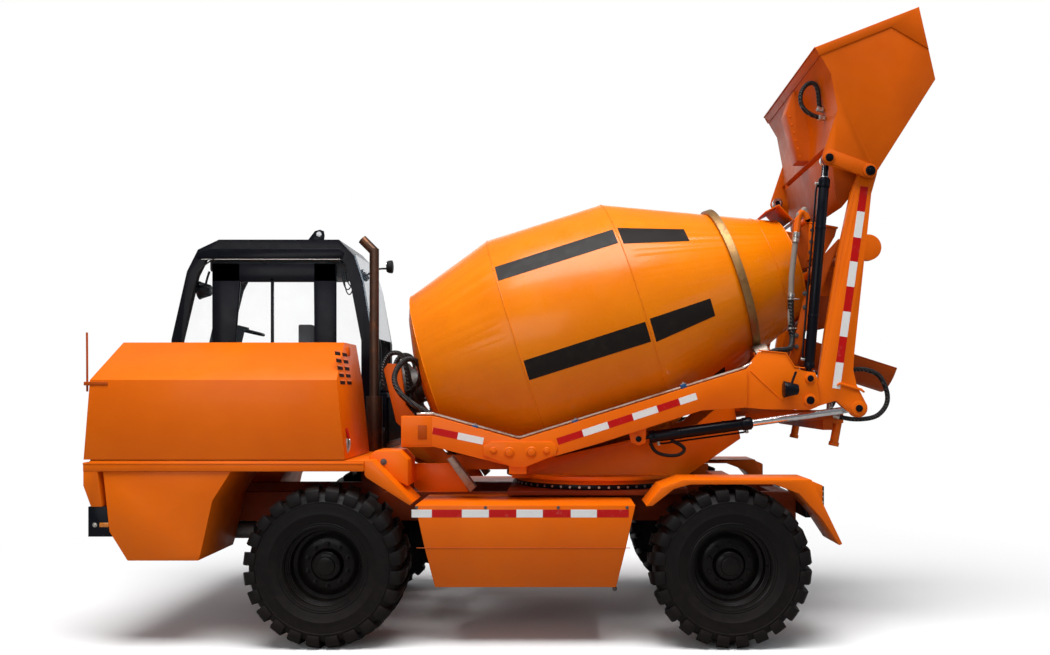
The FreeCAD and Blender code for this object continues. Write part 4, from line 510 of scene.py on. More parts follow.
def skinned(nodeName, look, bevel):
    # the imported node's own shape with eased edges
    body = nodes[nodeName]["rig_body"]
    piece = merged(nodeName)
    if bevel:
        bevelled(piece, bevel, 2)
    smoothed(piece)
    return settle(piece, body, look, (nodeName,))


def boltHead(place, way, radius=0.011, high=0.007):
    # a hexagon head on its washer, standing out along way
    start = Vector(place)
    along = Vector(way)
    washer = rod(start, start + along * 0.0025, radius * 1.55, 14)
    head = rod(start + along * 0.0025, start + along * (0.0025 + high), radius, 6, 0.0012)
    return [washer, head]


def assemble(name, pieces, body, look, replaces=()):
    return settle(smoothed(joined(name, pieces)), body, look, replaces)


def pairUp(name, pieces, body, look):
    near = joined(name, pieces)
    far = mirrored(near)
    far.name = name + "_far"
    settle(smoothed(near), body, look)
    settle(smoothed(far), body, look)


# camera, lights and floor

viewFit = {"place": (0.317, -7.55, 1.7), "lens": 33.46, "shiftX": -0.037, "shiftY": 0.061}
roomFit = {"floor": (0.92, 0.92, 0.92), "floorUnseen": (0.3, 0.29, 0.28), "key": 2900.0, "fill": 130.0,
           "world": 0.22, "near": 3.0, "far": 6.5}


def makeView():
    clearPick()
    bpy.ops.object.camera_add(location=viewFit["place"], rotation=(math.radians(90), 0, 0))
    camera = bpy.context.object
    camera.data.lens = viewFit["lens"]
    camera.data.sensor_width = 36.0
    camera.data.shift_x = viewFit["shiftX"]
    camera.data.shift_y = viewFit["shiftY"]
    bpy.context.scene.camera = camera
    bpy.context.scene.view_settings.view_transform = "Standard"


def softLamp(name, place, aim, size, power, tint=(1, 1, 1)):
    clearPick()
    turn = (Vector(aim) - Vector(place)).to_track_quat("-Z", "Y").to_euler()
    bpy.ops.object.light_add(type="AREA", location=place, rotation=turn)
    lamp = bpy.context.object
    lamp.name = name
    lamp.data.shape = "RECTANGLE"
    lamp.data.size, lamp.data.size_y = size
    lamp.data.energy = power
    lamp.data.color = tint


def fadeOut(finish):
    # far from the machine the floor turns into the white backdrop, so only the shadow near it shows
    tree = finish.material.node_tree
    out = next(node for node in tree.nodes if node.type == "OUTPUT_MATERIAL")
    lit = out.inputs["Surface"].links[0].from_socket
    glow = tree.nodes.new("ShaderNodeEmission")
    glow.inputs["Color"].default_value = (1, 1, 1, 1)
    length = tree.nodes.new("ShaderNodeVectorMath")
    length.operation = "LENGTH"
    tree.links.new(finish.place.socket, length.inputs[0])
    share = finish.ramp(Signal(finish, length.outputs["Value"]), roomFit["near"], roomFit["far"])
    ways = tree.nodes.new("ShaderNodeLightPath")
    seen = share * Signal(finish, ways.outputs["Is Camera Ray"])
    mixer = tree.nodes.new("ShaderNodeMixShader")
    tree.links.new(seen.socket, mixer.inputs[0])
    tree.links.new(lit, mixer.inputs[1])
    tree.links.new(glow.outputs[0], mixer.inputs[2])
    tree.links.new(mixer.outputs[0], out.inputs["Surface"])


def makeRoom():
    softLamp("topLamp", (-0.6, -4.2, 14.0), (0.2, 0, 1.0), (11, 8), roomFit["key"])
    softLamp("frontLamp", (-4.0, -11.0, 4.5), (0, 0, 1.6), (7, 4), roomFit["fill"] * 1.5)
    softLamp("rightLamp", (9.5, -4.0, 4.5), (0.5, 0, 1.8), (5, 4), roomFit["fill"] * 0.35)
    softLamp("backLamp", (0, 10.5, 5.5), (0, 0, 1.6), (9, 5), roomFit["fill"])
    world = bpy.data.worlds.new("studio")
    bpy.context.scene.world = world
    world.use_nodes = True
    tree = world.node_tree
    tree.nodes.clear()
    ways = tree.nodes.new("ShaderNodeLightPath")
    plain = tree.nodes.new("ShaderNodeBackground")
    plain.inputs["Color"].default_value = (0.92, 0.95, 1, 1)
    plain.inputs["Strength"].default_value = roomFit["world"]
    white = tree.nodes.new("ShaderNodeBackground")
    white.inputs["Color"].default_value = (1, 1, 1, 1)
    white.inputs["Strength"].default_value = 1.0
    seen = tree.nodes.new("ShaderNodeMath")
    seen.operation = "MAXIMUM"
    mixer = tree.nodes.new("ShaderNodeMixShader")
    out = tree.nodes.new("ShaderNodeOutputWorld")
    tree.links.new(ways.outputs["Is Camera Ray"], seen.inputs[0])
    tree.links.new(ways.outputs["Is Transmission Ray"], seen.inputs[1])
    tree.links.new(seen.outputs[0], mixer.inputs[0])
    tree.links.new(plain.outputs[0], mixer.inputs[1])
    tree.links.new(white.outputs[0], mixer.inputs[2])
    tree.links.new(mixer.outputs[0], out.inputs[0])
    clearPick()
    bpy.ops.mesh.primitive_plane_add(size=160, location=(0, 0, 0))
    floor = bpy.context.object
    floor.name = "floor"
    finish = Finish("paleFloor")
    ways = finish.node("ShaderNodeLightPath", {}, {})
    colour = finish.blend(ways, roomFit["floorUnseen"], roomFit["floor"])
    finish.surface(Base_Color=colour, Roughness=0.9, Specular_IOR_Level=0.1)
    fadeOut(finish)
    floor.data.materials.append(finish.material)


makeView()
makeRoom()
print("stage: camera and lights")


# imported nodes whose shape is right: their own shape with eased edges and a finish

skinPlan = {
    "orangeEnamel": {"engine_hood": 0.007, "front_deck": 0.006, "front_tanks": 0.006, "side_tanks": 0.006,
                     "rear_fenders": 0.004, "front_mudguards": 0.003, "loader_frame": 0.005,
                     "loader_arms": 0.004, "turret_base": 0.004},
    "bucketEnamel": {"bucket": 0.004},
    "redEnamel": {"tail_bracket": 0.005, "drum_frame": 0.005, "loading_hopper": 0.003,
                  "discharge_chute": 0.002, "bucket_gate": 0.004},
    "frameEnamel": {"chassis_frame": 0.006, "ring_bed": 0.004},
    "blackEnamel": {"front_steps": 0.005, "front_axle": 0.008, "rear_axle": 0.008,
                    "cab_door": 0.006, "hood_hinges": 0.002, "lift_barrels": 0.003, "tilt_barrels": 0.003,
                    "front_left_knuckle": 0.005, "front_right_knuckle": 0.005, "rear_left_knuckle": 0.005,
                    "rear_right_knuckle": 0.005, "steering_column": 0.002, "slew_ring_base": 0.003,
                    "rear_lamps": 0.004, "bucket_pins": 0.003, "drum_motor": 0.004},
    "drumEnamel": {"drum_shell": 0.003},
    "ringSteel": {"track_ring": 0.003},
    "waterHose": {"water_pipe": 0},
    "bareSteel": {"drum_rollers": 0.003},
    "castIron": {"engine_block": 0.01, "drum_gearbox": 0.006, "air_tank": 0.006},
    "chromeSteel": {"lift_rods": 0.002, "tilt_rods": 0.002},
    "exhaustSteel": {"exhaust_stack": 0.003},
    "seatCloth": {"driver_seat": 0.03},
    "cabGlass": {"cab_glass": 0.001, "door_glass": 0.001},
}

for look, plan in skinPlan.items():
    for nodeName, bevel in plan.items():
        if nodeName in nodes:
            skinned(nodeName, look, bevel)
print("stage: packed shapes finished")


# wheels: a lugged tyre and a deep black rim, made once and mirrored for the far side

wheelFit = {"front": -1.27, "rear": 1.425, "halfTrack": 0.9475, "height": 0.5375}
tyreFit = {"outer": 0.5375, "half": 0.2025, "lugs": 24, "steps": 96,
           "lugEnd": 0.046, "lugMiddle": 0.033, "skew": 0.03}


def spun(outline, steps):
    # an outline of (radius, along) pairs turned about the Y axis into a closed ring or cup
    clearPick()
    bpy.ops.mesh.primitive_circle_add(vertices=len(outline), radius=1, fill_type="NOTHING")
    piece = bpy.context.object
    for vertex, (radius, along) in zip(piece.data.vertices, outline):
        vertex.co = (0, along, radius)
    bpy.ops.object.mode_set(mode="EDIT")
    bpy.ops.mesh.select_all(action="SELECT")
    bpy.ops.mesh.spin(steps=steps, angle=math.radians(360), center=(0, 0, 0), axis=(0, 1, 0))
    bpy.ops.mesh.select_all(action="SELECT")
    bpy.ops.mesh.remove_doubles(threshold=0.00005)
    bpy.ops.mesh.normals_make_consistent(inside=False)
    bpy.ops.object.mode_set(mode="OBJECT")
    return piece


def makeLug():
    # one tread lug at the top of the tyre, from near its middle to down over its shoulder
    section = [(0.008, 0.498), (0.008, 0.5372), (0.12, 0.535), (0.165, 0.529), (0.192, 0.512),
               (0.204, 0.478), (0.2015, 0.445), (0.188, 0.443), (0.176, 0.47), (0.15, 0.49)]
    lug = prism(section, "YZ", -1, 1, 0)
    for vertex in lug.data.vertices:
        reach = vertex.co.y / tyreFit["half"]
        half = tyreFit["lugMiddle"] + (tyreFit["lugEnd"] - tyreFit["lugMiddle"]) * min(1, reach * 1.3)
        inward = max(0.0, (0.5 - vertex.co.z) / 0.06)
        half *= 1 - 0.16 * inward + 0.1 * (1 - min(1, (tyreFit["outer"] - vertex.co.z) / 0.03)) * -1
        vertex.co.x = math.copysign(half, vertex.co.x) + tyreFit["skew"] * (1 - reach)
    return bevelled(lug, 0.0035, 2, 25)


def makeTyre(name):
    wall = [
        (0.262, 0.15), (0.268, 0.17), (0.283, 0.176), (0.286, 0.183), (0.296, 0.186), (0.3, 0.183),
        (0.322, 0.1925), (0.352, 0.199), (0.356, 0.2015), (0.362, 0.2015), (0.366, 0.2), (0.398, 0.2018),
        (0.428, 0.199), (0.432, 0.201), (0.44, 0.2005), (0.444, 0.1965), (0.468, 0.185), (0.488, 0.168),
        (0.499, 0.142), (0.504, 0.09), (0.506, 0.04)]
    outline = wall + [(0.506, 0.0)] + [(radius, -along) for radius, along in reversed(wall)]
    parts = [spun(outline, tyreFit["steps"])]
    lug = makeLug()
    step = 360 / tyreFit["lugs"]
    # the lug of the tyre's other half
    other = copied(lug, turn=Matrix.Rotation(math.radians(180), 4, "Z"))
    for number in range(tyreFit["lugs"]):
        parts.append(copied(lug, turn=Matrix.Rotation(math.radians(step * number), 4, "Y")))
        parts.append(copied(other, turn=Matrix.Rotation(math.radians(step * (number + 0.5)), 4, "Y")))
    bpy.data.objects.remove(other)
    bpy.data.objects.remove(lug)
    return smoothed(joined(name, parts), 30)


rimFit = {"nuts": 10, "nutCircle": 0.14, "steps": 72}


def makeRim(name):
    # outward is -Y
    outline = [(0.262, 0.168), (0.286, 0.176), (0.288, 0.181), (0.28, 0.184), (0.268, 0.178), (0.262, 0.16),
               (0.258, 0.14), (0.252, 0.136), (0.252, 0.12), (0.246, 0.116), (0.246, 0.1), (0.239, 0.096),
               (0.239, 0.06), (0.23, 0.04), (0.208, 0.028), (0.186, 0.038), (0.17, 0.048), (0.112, 0.048),
               (0.106, 0.054), (0.106, 0.04), (0.112, 0.03), (0.17, 0.028), (0.2, 0.008), (0.236, 0.01),
               (0.246, 0.02), (0.246, -0.15), (0.262, -0.168), (0.286, -0.176), (0.288, -0.184),
               (0.276, -0.182), (0.254, -0.16), (0.252, 0.08), (0.257, 0.11), (0.259, 0.15)]
    ring = spun([(radius, -along) for radius, along in outline], rimFit["steps"])
    cup = spun([(0.0, -0.118), (0.05, -0.118), (0.06, -0.114), (0.064, -0.104), (0.088, -0.1),
                (0.096, -0.092), (0.098, -0.056), (0.104, -0.046), (0.104, -0.036), (0.0, -0.036)], 48)
    parts = [ring, cup]
    for number in range(rimFit["nuts"]):
        turn = Matrix.Rotation(math.radians(360 / rimFit["nuts"] * number), 4, "Y")
        nut = rod((0, -0.046, rimFit["nutCircle"]), (0, -0.068, rimFit["nutCircle"]), 0.0155, 6, 0.002)
        stud = rod((0, -0.066, rimFit["nutCircle"]), (0, -0.08, rimFit["nutCircle"]), 0.0085, 10, 0.0015)
        washer = rod((0, -0.046, rimFit["nutCircle"]), (0, -0.05, rimFit["nutCircle"]), 0.021, 16, 0.001)
        for piece in (nut, stud, washer):
            piece.data.transform(turn)
            parts.append(piece)
    for number in range(6):
        turn = Matrix.Rotation(math.radians(60 * number + 30), 4, "Y")
        bolt = rod((0, -0.099, 0.077), (0, -0.107, 0.077), 0.0075, 6, 0.001)
        bolt.data.transform(turn)
        parts.append(bolt)
    valve = rod((0.244, -0.098, 0.0), (0.232, -0.128, 0.0), 0.004, 8, 0.0008)
    parts.append(valve)
    return smoothed(joined(name, parts), 36)


def makeWheels():
    tyre, rim = makeTyre("tyrePattern"), makeRim("rimPattern")
    tyreFar, rimFar = mirrored(tyre), mirrored(rim)
    for end in ("front", "rear"):
        for hand, side in (("left", -1), ("right", 1)):
            place = (wheelFit[end], side * wheelFit["halfTrack"], wheelFit["height"])
            body = f"{end}_{hand}_wheel"
            for kind, near, far, look in (("tyre", tyre, tyreFar, "tyreRubber"),
                                          ("rim", rim, rimFar, "rimEnamel")):
                piece = copied(near if side < 0 else far, place)
                piece.name = f"{end}{hand.capitalize()}{kind.capitalize()}"
                settle(piece, body, look, (f"{end}_{hand}_{kind}",))
    for piece in (tyre, rim, tyreFar, rimFar):
        bpy.data.objects.remove(piece)


makeWheels()
print("stage: wheels")


# cab: the shell's eased edges, near side frame, roof console and band, work lamp, lifting eye, mirror,
# dash, levers, floor mat and door handle

cabFit = {
    "near": 0.2,
    "postFront": [(-2.478, 1.46), (-2.29, 1.46), (-2.29, 2.12), (-2.255, 2.575), (-2.255, 2.72),
                  (-2.478, 2.72)],
    "postRear": [(-1.66, 1.46), (-1.493, 1.46), (-1.493, 2.72), (-1.672, 2.72)],
    "header": [(-2.478, 2.573), (-1.493, 2.573), (-1.493, 2.72), (-2.478, 2.72)],
    "band": [(-2.6, 2.752), (-1.44, 2.752), (-1.425, 2.8), (-1.46, 2.835), (-2.49, 2.835), (-2.6, 2.8)],
    "bar": (-2.002, 0.01), "console": ((-2.52, 0.262, 2.66), (-1.56, 1.038, 2.8)),
    "lamp": (-2.585, 0.36, 2.52), "lampRadius": 0.07,
    "eye": (-1.655, 0.3, 2.962), "mirror": (-1.222, 1.06, 2.8),
    "tint": [(-1.196, 2.13), (-1.272, 2.58), (-1.34, 2.79), (-1.352, 2.785), (-1.284, 2.576),
             (-1.208, 2.13)],
}


def frameSide(y0, y1):
    parts = [prism(cabFit[key], "XZ", y0, y1, 0.006) for key in ("postFront", "postRear", "header")]
    x, half = cabFit["bar"]
    parts.append(block((x - half, y0, 1.46), (x + half, y1, 2.6), 0.002))
    return parts


def roundLamp(place, radius, deep, name):
    # a round work lamp: a tapered shell, a rim and a bent stem
    x, y, z = place
    shell = rod((x + deep * 0.5, y, z), (x - deep * 0.5, y, z), radius * 0.62, 28, 0.006, radius)
    ring = rod((x - deep * 0.5, y, z), (x - deep * 0.62, y, z), radius * 1.06, 28, 0.004)
    stem = tube([(x, y, z + radius * 0.7), (x + 0.01, y, z + radius * 1.4),
                 (x + 0.03, y, z + radius * 2.2)], 0.009, 8)
    return joined(name, [shell, ring, stem])


def makeCab():
    skin = smoothed(bevelled(merged("cab_shell"), 0.04, 5, 14))
    settle(skin, "chassis", "blackEnamel", ("cab_shell",))
    nearFrame = joined("cabNearFrame", frameSide(cabFit["near"] + 0.002, cabFit["near"] + 0.03))
    settle(smoothed(nearFrame), "chassis", "blackEnamel")
    settle(smoothed(block(*cabFit["console"], 0.02, None, 3)), "chassis", "seatCloth")
    band = prism(cabFit["band"], "XZ", cabFit["near"] - 0.002, cabFit["near"] + 0.08, 0.004)
    settle(smoothed(band), "chassis", "blackEnamel")
    # a thin bright zinc strip along the roof's lower fold, standing for the highlight on that edge (painted
    # highlight)
    fold = block((-2.56, cabFit["near"] - 0.004, 2.748), (-1.46, cabFit["near"] + 0.002, 2.752), 0.001)
    settle(fold, "chassis", "zincSteel")
    seal = tube([(-2.715, 0.196, 2.05), (-2.66, 0.196, 2.36), (-2.605, 0.196, 2.6), (-2.555, 0.196, 2.7),
                 (-2.46, 0.196, 2.752)], 0.006, 8)
    settle(joined("windowSeal", [seal]), "chassis", "trimRubber")
    lamp = roundLamp(cabFit["lamp"], cabFit["lampRadius"], 0.085, "cabWorkLamp")
    settle(smoothed(lamp), "chassis", "blackEnamel")
    x, y, z = cabFit["lamp"]
    glass = rod((x - 0.053, y, z), (x - 0.057, y, z), cabFit["lampRadius"] * 0.94, 28, 0.0015)
    settle(smoothed(glass), "chassis", "clearLens")
    x, y, z = cabFit["eye"]
    eye = prism([(x - 0.085, 2.903), (x - 0.085, 2.918), (x - 0.03, z + 0.028), (x + 0.012, z + 0.04),
                 (x + 0.042, z + 0.028), (x + 0.048, z - 0.01), (x + 0.04, 2.903)], "XZ", y - 0.008,
                 y + 0.008, 0.003)
    hole = rod((x + 0.004, y - 0.0095, z + 0.002), (x + 0.004, y + 0.0095, z + 0.002), 0.021, 20, 0.001)
    base = block((x - 0.12, y - 0.035, 2.9), (x + 0.07, y + 0.035, 2.91), 0.002)
    rails = [block((x - 0.13, cabFit["near"] + 0.09, 2.904), (x + 0.16, cabFit["near"] + 0.13, 2.921),
                   0.005)]
    assemble("liftingEye", [eye, base] + rails, "chassis", "blackEnamel")
    settle(smoothed(hole), "chassis", "clearLens")
    x, y, z = cabFit["mirror"]
    disc = rod((x - 0.02, y, z), (x + 0.03, y, z), 0.052, 32, 0.012, 0.06)
    arm = tube([(x, y, z - 0.02), (x - 0.05, y - 0.01, z - 0.01), (x - 0.13, y - 0.03, z - 0.03)], 0.009, 8)
    assemble("roundMirror", [disc, arm], "chassis", "trimRubber")
    settle(smoothed(rod((x - 0.0225, y, z), (x - 0.0195, y, z), 0.046, 32, 0.001)), "chassis",
           "chromeSteel")
    tint = prism(cabFit["tint"], "XZ", 0.206, 1.0, 0.001)
    settle(tint, "chassis", "rearGlass")


def makeCabInside():
    wires = []
    for number, drop in enumerate((0.1, 0.14, 0.07)):
        x, y = -1.46 + 0.012 * number, 0.262 + 0.012 * number
        wires.append(tube([(x, y, 2.66), (x + 0.008, y, 2.66 - drop), (x + 0.05, y, 2.6 - drop),
                           (x + 0.085, y, 2.62 - drop * 0.5), (x + 0.09, y, 2.66)], 0.005, 8))
    settle(joined("cabWires", wires), "chassis", "trimRubber")
    dash = prism([(-2.76, 1.29), (-2.5, 1.29), (-2.44, 1.62), (-2.47, 1.92), (-2.6, 2.02), (-2.74, 2.02)],
                 "XZ", 0.262, 1.03, 0.02, 3)
    dials = []
    for number in range(4):
        y = 0.4 + 0.15 * number
        dials.append(rod((-2.478, y, 1.8), (-2.462, y, 1.798), 0.036, 24, 0.003))
    assemble("dashPanel", [dash], "chassis", "trimRubber")
    assemble("dashDials", dials, "chassis", "clearLens")
    levers = []
    for number in range(3):
        y = 0.9 + 0.04 * number
        levers.append(tube([(-1.98, y, 1.55), (-1.99, y, 1.78), (-2.02, y, 1.95)], 0.007, 8))
        levers.append(rod((-2.018, y, 1.94), (-2.026, y, 1.985), 0.018, 16, 0.006))
    levers.append(block((-2.06, 0.87, 1.29), (-1.86, 1.02, 1.6), 0.015))
    assemble("levers", levers, "chassis", "blackEnamel")
    steps = []
    for number in range(9):         # anti-slip bars on the cab's floor mat
        steps.append(block((-2.42 + 0.06 * number, 0.36, 1.287), (-2.39 + 0.06 * number, 0.94, 1.297),
                           0.003))
    settle(joined("floorMat", steps), "chassis", "trimRubber")


def makeDoorTrim():
    grip = tube([(-1.36, 1.105, 1.62), (-1.36, 1.13, 1.64), (-1.36, 1.13, 1.82), (-1.36, 1.105, 1.84)],
                0.01, 10)
    plate = block((-1.385, 1.099, 1.58), (-1.335, 1.106, 1.88), 0.003)
    assemble("doorHandle", [grip, plate], "cab_door", "trimRubber")


makeCab()
makeCabInside()
makeDoorTrim()
print("stage: cab")


# engine hood, deck and tanks: louvres, latch, width rod, the deck's edge bar, drain plugs, bolts, seams
# and step reflectors

hoodFit = {
    "crease": (1.777, -1.1805, 0.1698), "foot": (1.251, -1.128, 0.0998),
    "columns": (-0.95, -0.745), "slotHalf": 0.07, "rows": (1.945, 0.049, 5),
    "latchY": -1.0, "rod": (-2.838, -1.09), "bar": ((-2.852, -1.123, 1.173), (-1.001, -1.113, 1.232)),
}


def hoodBack(z):
    height, x, lean = hoodFit["crease"] if z > hoodFit["crease"][0] else hoodFit["foot"]
    return x - (z - height) * lean


def makeHoodDetails():
    slots, frames = [], []
    top, step, count = hoodFit["rows"]
    half = hoodFit["slotHalf"]
    for y in hoodFit["columns"]:
        for row in range(count):
            z = top - step * row
            x, u = hoodBack(z), hoodBack(z + 0.026)
            # each slot is a thin dark plate standing for the shade inside the louvre opening (painted
            # shade)
            slots.append(prism([(x - 0.004, z), (x + 0.0015, z), (u + 0.0015, z + 0.026),
                                (u - 0.004, z + 0.026)],
                               "XZ", y - half, y + half, 0.001, 1))
            frames.append(prism([(u - 0.003, z + 0.024), (u + 0.006, z + 0.022), (u + 0.001, z + 0.032)],
                                "XZ", y - half - 0.004, y + half + 0.004, 0.0008, 1))
    settle(joined("louvreSlotShades", slots), "hood", "trimRubber")
    settle(joined("louvreHoods", frames), "hood", "orangeEnamel")
    y = hoodFit["latchY"]
    x = hoodBack(1.36)
    base = block((x - 0.004, y - 0.024, 1.285), (x + 0.01, y + 0.024, 1.385), 0.003)
    loop = tube([(x + 0.012, y - 0.01, 1.3), (x + 0.022, y - 0.012, 1.35), (x + 0.016, y, 1.39),
                 (x + 0.022, y + 0.012, 1.35), (x + 0.012, y + 0.01, 1.3)], 0.004, 8)
    grip = rod((x + 0.012, y, 1.385), (x - 0.002, y, 1.455), 0.0095, 16, 0.003, 0.007)
    assemble("hoodLatch", [base, loop], "hood", "zincSteel")
    settle(smoothed(grip), "hood", "redTape")
    x = hoodBack(1.99)
    tab = block((x - 0.02, -0.66, 1.955), (x + 0.014, -0.6, 2.015), 0.004)
    settle(smoothed(tab), "hood", "orangeEnamel")
    x, y = hoodFit["rod"]           # the upright rod that shows the machine's width to the driver
    mast = [tube([(x, y, 1.7), (x, y, 1.8), (x - 0.001, y, 2.0), (x - 0.002, y, 2.091)], 0.0075, 10),
            block((x - 0.008, -1.124, 1.74), (x + 0.15, -1.09, 1.765), 0.003)]
    assemble("widthRod", mast, "hood", "redEnamel")


def makeDeckBar():
    low, high = hoodFit["bar"]
    bar = block(low, high, 0.005)
    lip = block((low[0], low[1] - 0.003, high[2] - 0.012), (high[0], low[1] + 0.004, high[2] - 0.002),
                0.002)
    near = joined("deckEdgeBar", [bar, lip])
    far = mirrored(near)
    for piece in (near, far):
        settle(smoothed(piece), "chassis", "orangeEnamel")


tankFit = {"face": 1.11, "plug": (0.6575, -1.02), "bolts": (-0.655, -0.2, 0.28, 0.735),
           "boltHeight": 0.935, "seam": (-0.655, 0.0, 0.755), "seamHeight": 0.668}


def makeTankDetails():
    y = -tankFit["face"]
    x, side = tankFit["plug"]
    plug = [rod((x, side, 0.392), (x, side, 0.372), 0.017, 6, 0.003),
            rod((x, side, 0.376), (x, side, 0.366), 0.01, 12, 0.002)]
    pairUp("drainPlugs", plug, "chassis", "castIron")
    bolts = []
    for x in tankFit["bolts"]:
        bolts += boltHead((x, y, tankFit["boltHeight"]), (0, -1, 0), 0.007, 0.004)
    pairUp("tankBolts", bolts, "chassis", "castIron")
    # the folded seam where the tank's face turns under
    seam = tube([(x, y - 0.0005, tankFit["seamHeight"]) for x in tankFit["seam"]], 0.0028, 6, False)
    pairUp("tankSeams", [seam], "chassis", "redEnamel")
    low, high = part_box("front_steps")
    face = block((low[0] + 0.075, low[1] - 0.003, high[2] - 0.135),
                 (low[0] + 0.135, low[1] + 0.002, high[2] - 0.105), 0.002)
    pairUp("stepReflectors", [face], "chassis", "amberLens")
    pairUp("stepBolts", boltHead((low[0] + 0.045, low[1], high[2] - 0.12), (0, -1, 0), 0.01, 0.005),
           "chassis", "zincSteel")


makeHoodDetails()
makeDeckBar()
makeTankDetails()
print("stage: hood and deck")


# reflective tape on the tanks, the V beams and the arms: thin strips of red and white film

tapeFit = {
    "tankX": [-0.688, -0.554, -0.356, -0.178, 0.004, 0.178, 0.363, 0.535, 0.746],
    "tankZ": (0.869, 0.921), "tankY": 1.11,
    "beamFirst": [((-0.583, 1.432), (-0.412, 1.396)), ((-0.412, 1.396), (-0.236, 1.359))],
    "beamSecond": [((0.273, 1.356), (0.447, 1.413)), ((0.447, 1.413), (0.622, 1.47)),
                   ((0.622, 1.47), (0.791, 1.525)),
                   ((0.791, 1.525), (0.96, 1.58)), ((0.96, 1.58), (1.111, 1.63)),
                   ((1.111, 1.63), (1.228, 1.668))],
    "beamHalf": 0.024, "beamY": 0.85,
    "armTop": (2.396, 3.118), "armLow": (2.201, 1.721), "armHalf": 0.027, "armY": 0.799,
    "armZ": [3.118, 2.945, 2.765, 2.599, 2.426, 2.253, 2.08, 1.901, 1.721],
    "thick": 0.0009,
}


def tapeStrip(first, second, half, y):
    # one strip lying on a face that looks along -Y
    (x0, z0), (x1, z1) = first, second
    length = math.hypot(x1 - x0, z1 - z0)
    dx, dz = -(z1 - z0) / length * half, (x1 - x0) / length * half
    corners = [(x0 - dx, z0 - dz), (x1 - dx, z1 - dz), (x1 + dx, z1 + dz), (x0 + dx, z0 + dz)]
    return prism(corners, "XZ", -y - tapeFit["thick"], -y + tapeFit["thick"], 0.0003, 1)


def layTape(name, strips, body):
    # strips of one colour become one piece on the near side and one on the far side
    for colour in ("redTape", "whiteTape"):
        chosen = [tapeStrip(*strip[:-1]) for strip in strips if strip[-1] == colour]
        near = joined(f"{name}_{colour}", chosen)
        far = mirrored(near)
        far.name = f"{name}_{colour}_far"
        settle(near, body, colour)
        settle(far, body, colour)


def makeTape():
    low, high = tapeFit["tankZ"]
    middle, half = (low + high) / 2, (high - low) / 2
    row = tapeFit["tankX"]
    strips = [((a, middle), (b, middle), half, tapeFit["tankY"], "redTape" if number % 2 else "whiteTape")
              for number, (a, b) in enumerate(zip(row, row[1:]))]
    layTape("tankTape", strips, "chassis")
    beams = []
    for key in ("beamFirst", "beamSecond"):
        for number, (first, second) in enumerate(tapeFit[key]):
            beams.append((first, second, tapeFit["beamHalf"], tapeFit["beamY"],
                          "whiteTape" if number % 2 else "redTape"))
    layTape("beamTape", beams, "turret")
    (x1, z1), (x0, z0) = tapeFit["armTop"], tapeFit["armLow"]
    spots = [(x0 + (x1 - x0) * (z - z0) / (z1 - z0), z) for z in tapeFit["armZ"]]
    arms = [(a, b, tapeFit["armHalf"], tapeFit["armY"], "whiteTape" if number % 2 else "redTape")
            for number, (a, b) in enumerate(zip(spots, spots[1:]))]
    layTape("armTape", arms, "arms")


makeTape()
print("stage: tape")


# V beams: fishplates over the bend, pipes with their clamps and unions, end pads, pin heads, fork seams

beamFit = {
    "fish": [(-0.234, 1.329), (-0.18, 1.357), (0.239, 1.357), (0.274, 1.317), (0.262, 1.266),
             (0.053, 1.182), (-0.029, 1.182), (-0.234, 1.266)],
    "dimples": [((-0.164, 1.294), 0.027), ((-0.057, 1.282), 0.04), ((0.095, 1.285), 0.04),
                ((0.199, 1.294), 0.027)],
    "face": 0.85, "fishThick": 0.018,
    "clamps": [(-0.3, 1.462), (0.397, 1.499), (1.145, 1.747)],
    "pipeRoute": [(-0.7, 1.5435), (-0.64, 1.5435), (-0.587, 1.5435), (-0.572, 1.54), (-0.05, 1.3935),
                  (-0.01, 1.3835), (0.008, 1.3805), (0.026, 1.3845), (0.07, 1.3985), (1.52, 1.8485),
                  (1.574, 1.866), (1.6, 1.879), (1.706, 1.94)],
    "pipes": (0.755, 0.787), "slopes": (-13.8, 17.3, 17.3), "fork": 0.83, "lug": 0.8,
    "bolts": [(2.013, 1.64, 0.028), (2.013, 1.79, 0.022), (0.833, 1.372, 0.021)],
}


def makeFishplate():
    y = -beamFit["face"]
    plate = prism(beamFit["fish"], "XZ", y - beamFit["fishThick"], y + 0.001, 0.003)
    face = y - beamFit["fishThick"]
    rings = [plate]
    for (x, z), radius in beamFit["dimples"]:
        rings.append(rod((x, face + 0.001, z), (x, face - 0.007, z), radius, 28, 0.003, radius * 0.84))
        rings.append(rod((x, face - 0.006, z), (x, face - 0.01, z), radius * 0.6, 28, 0.002))
    pairUp("fishplate", rings, "turret", "orangeEnamel")
    cups = [rod((x, face - 0.0068, z), (x, face - 0.0076, z), radius * 0.78, 28, 0.0002)
            for (x, z), radius in beamFit["dimples"]]
    pairUp("fishplateCups", cups, "turret", "bucketEnamel")


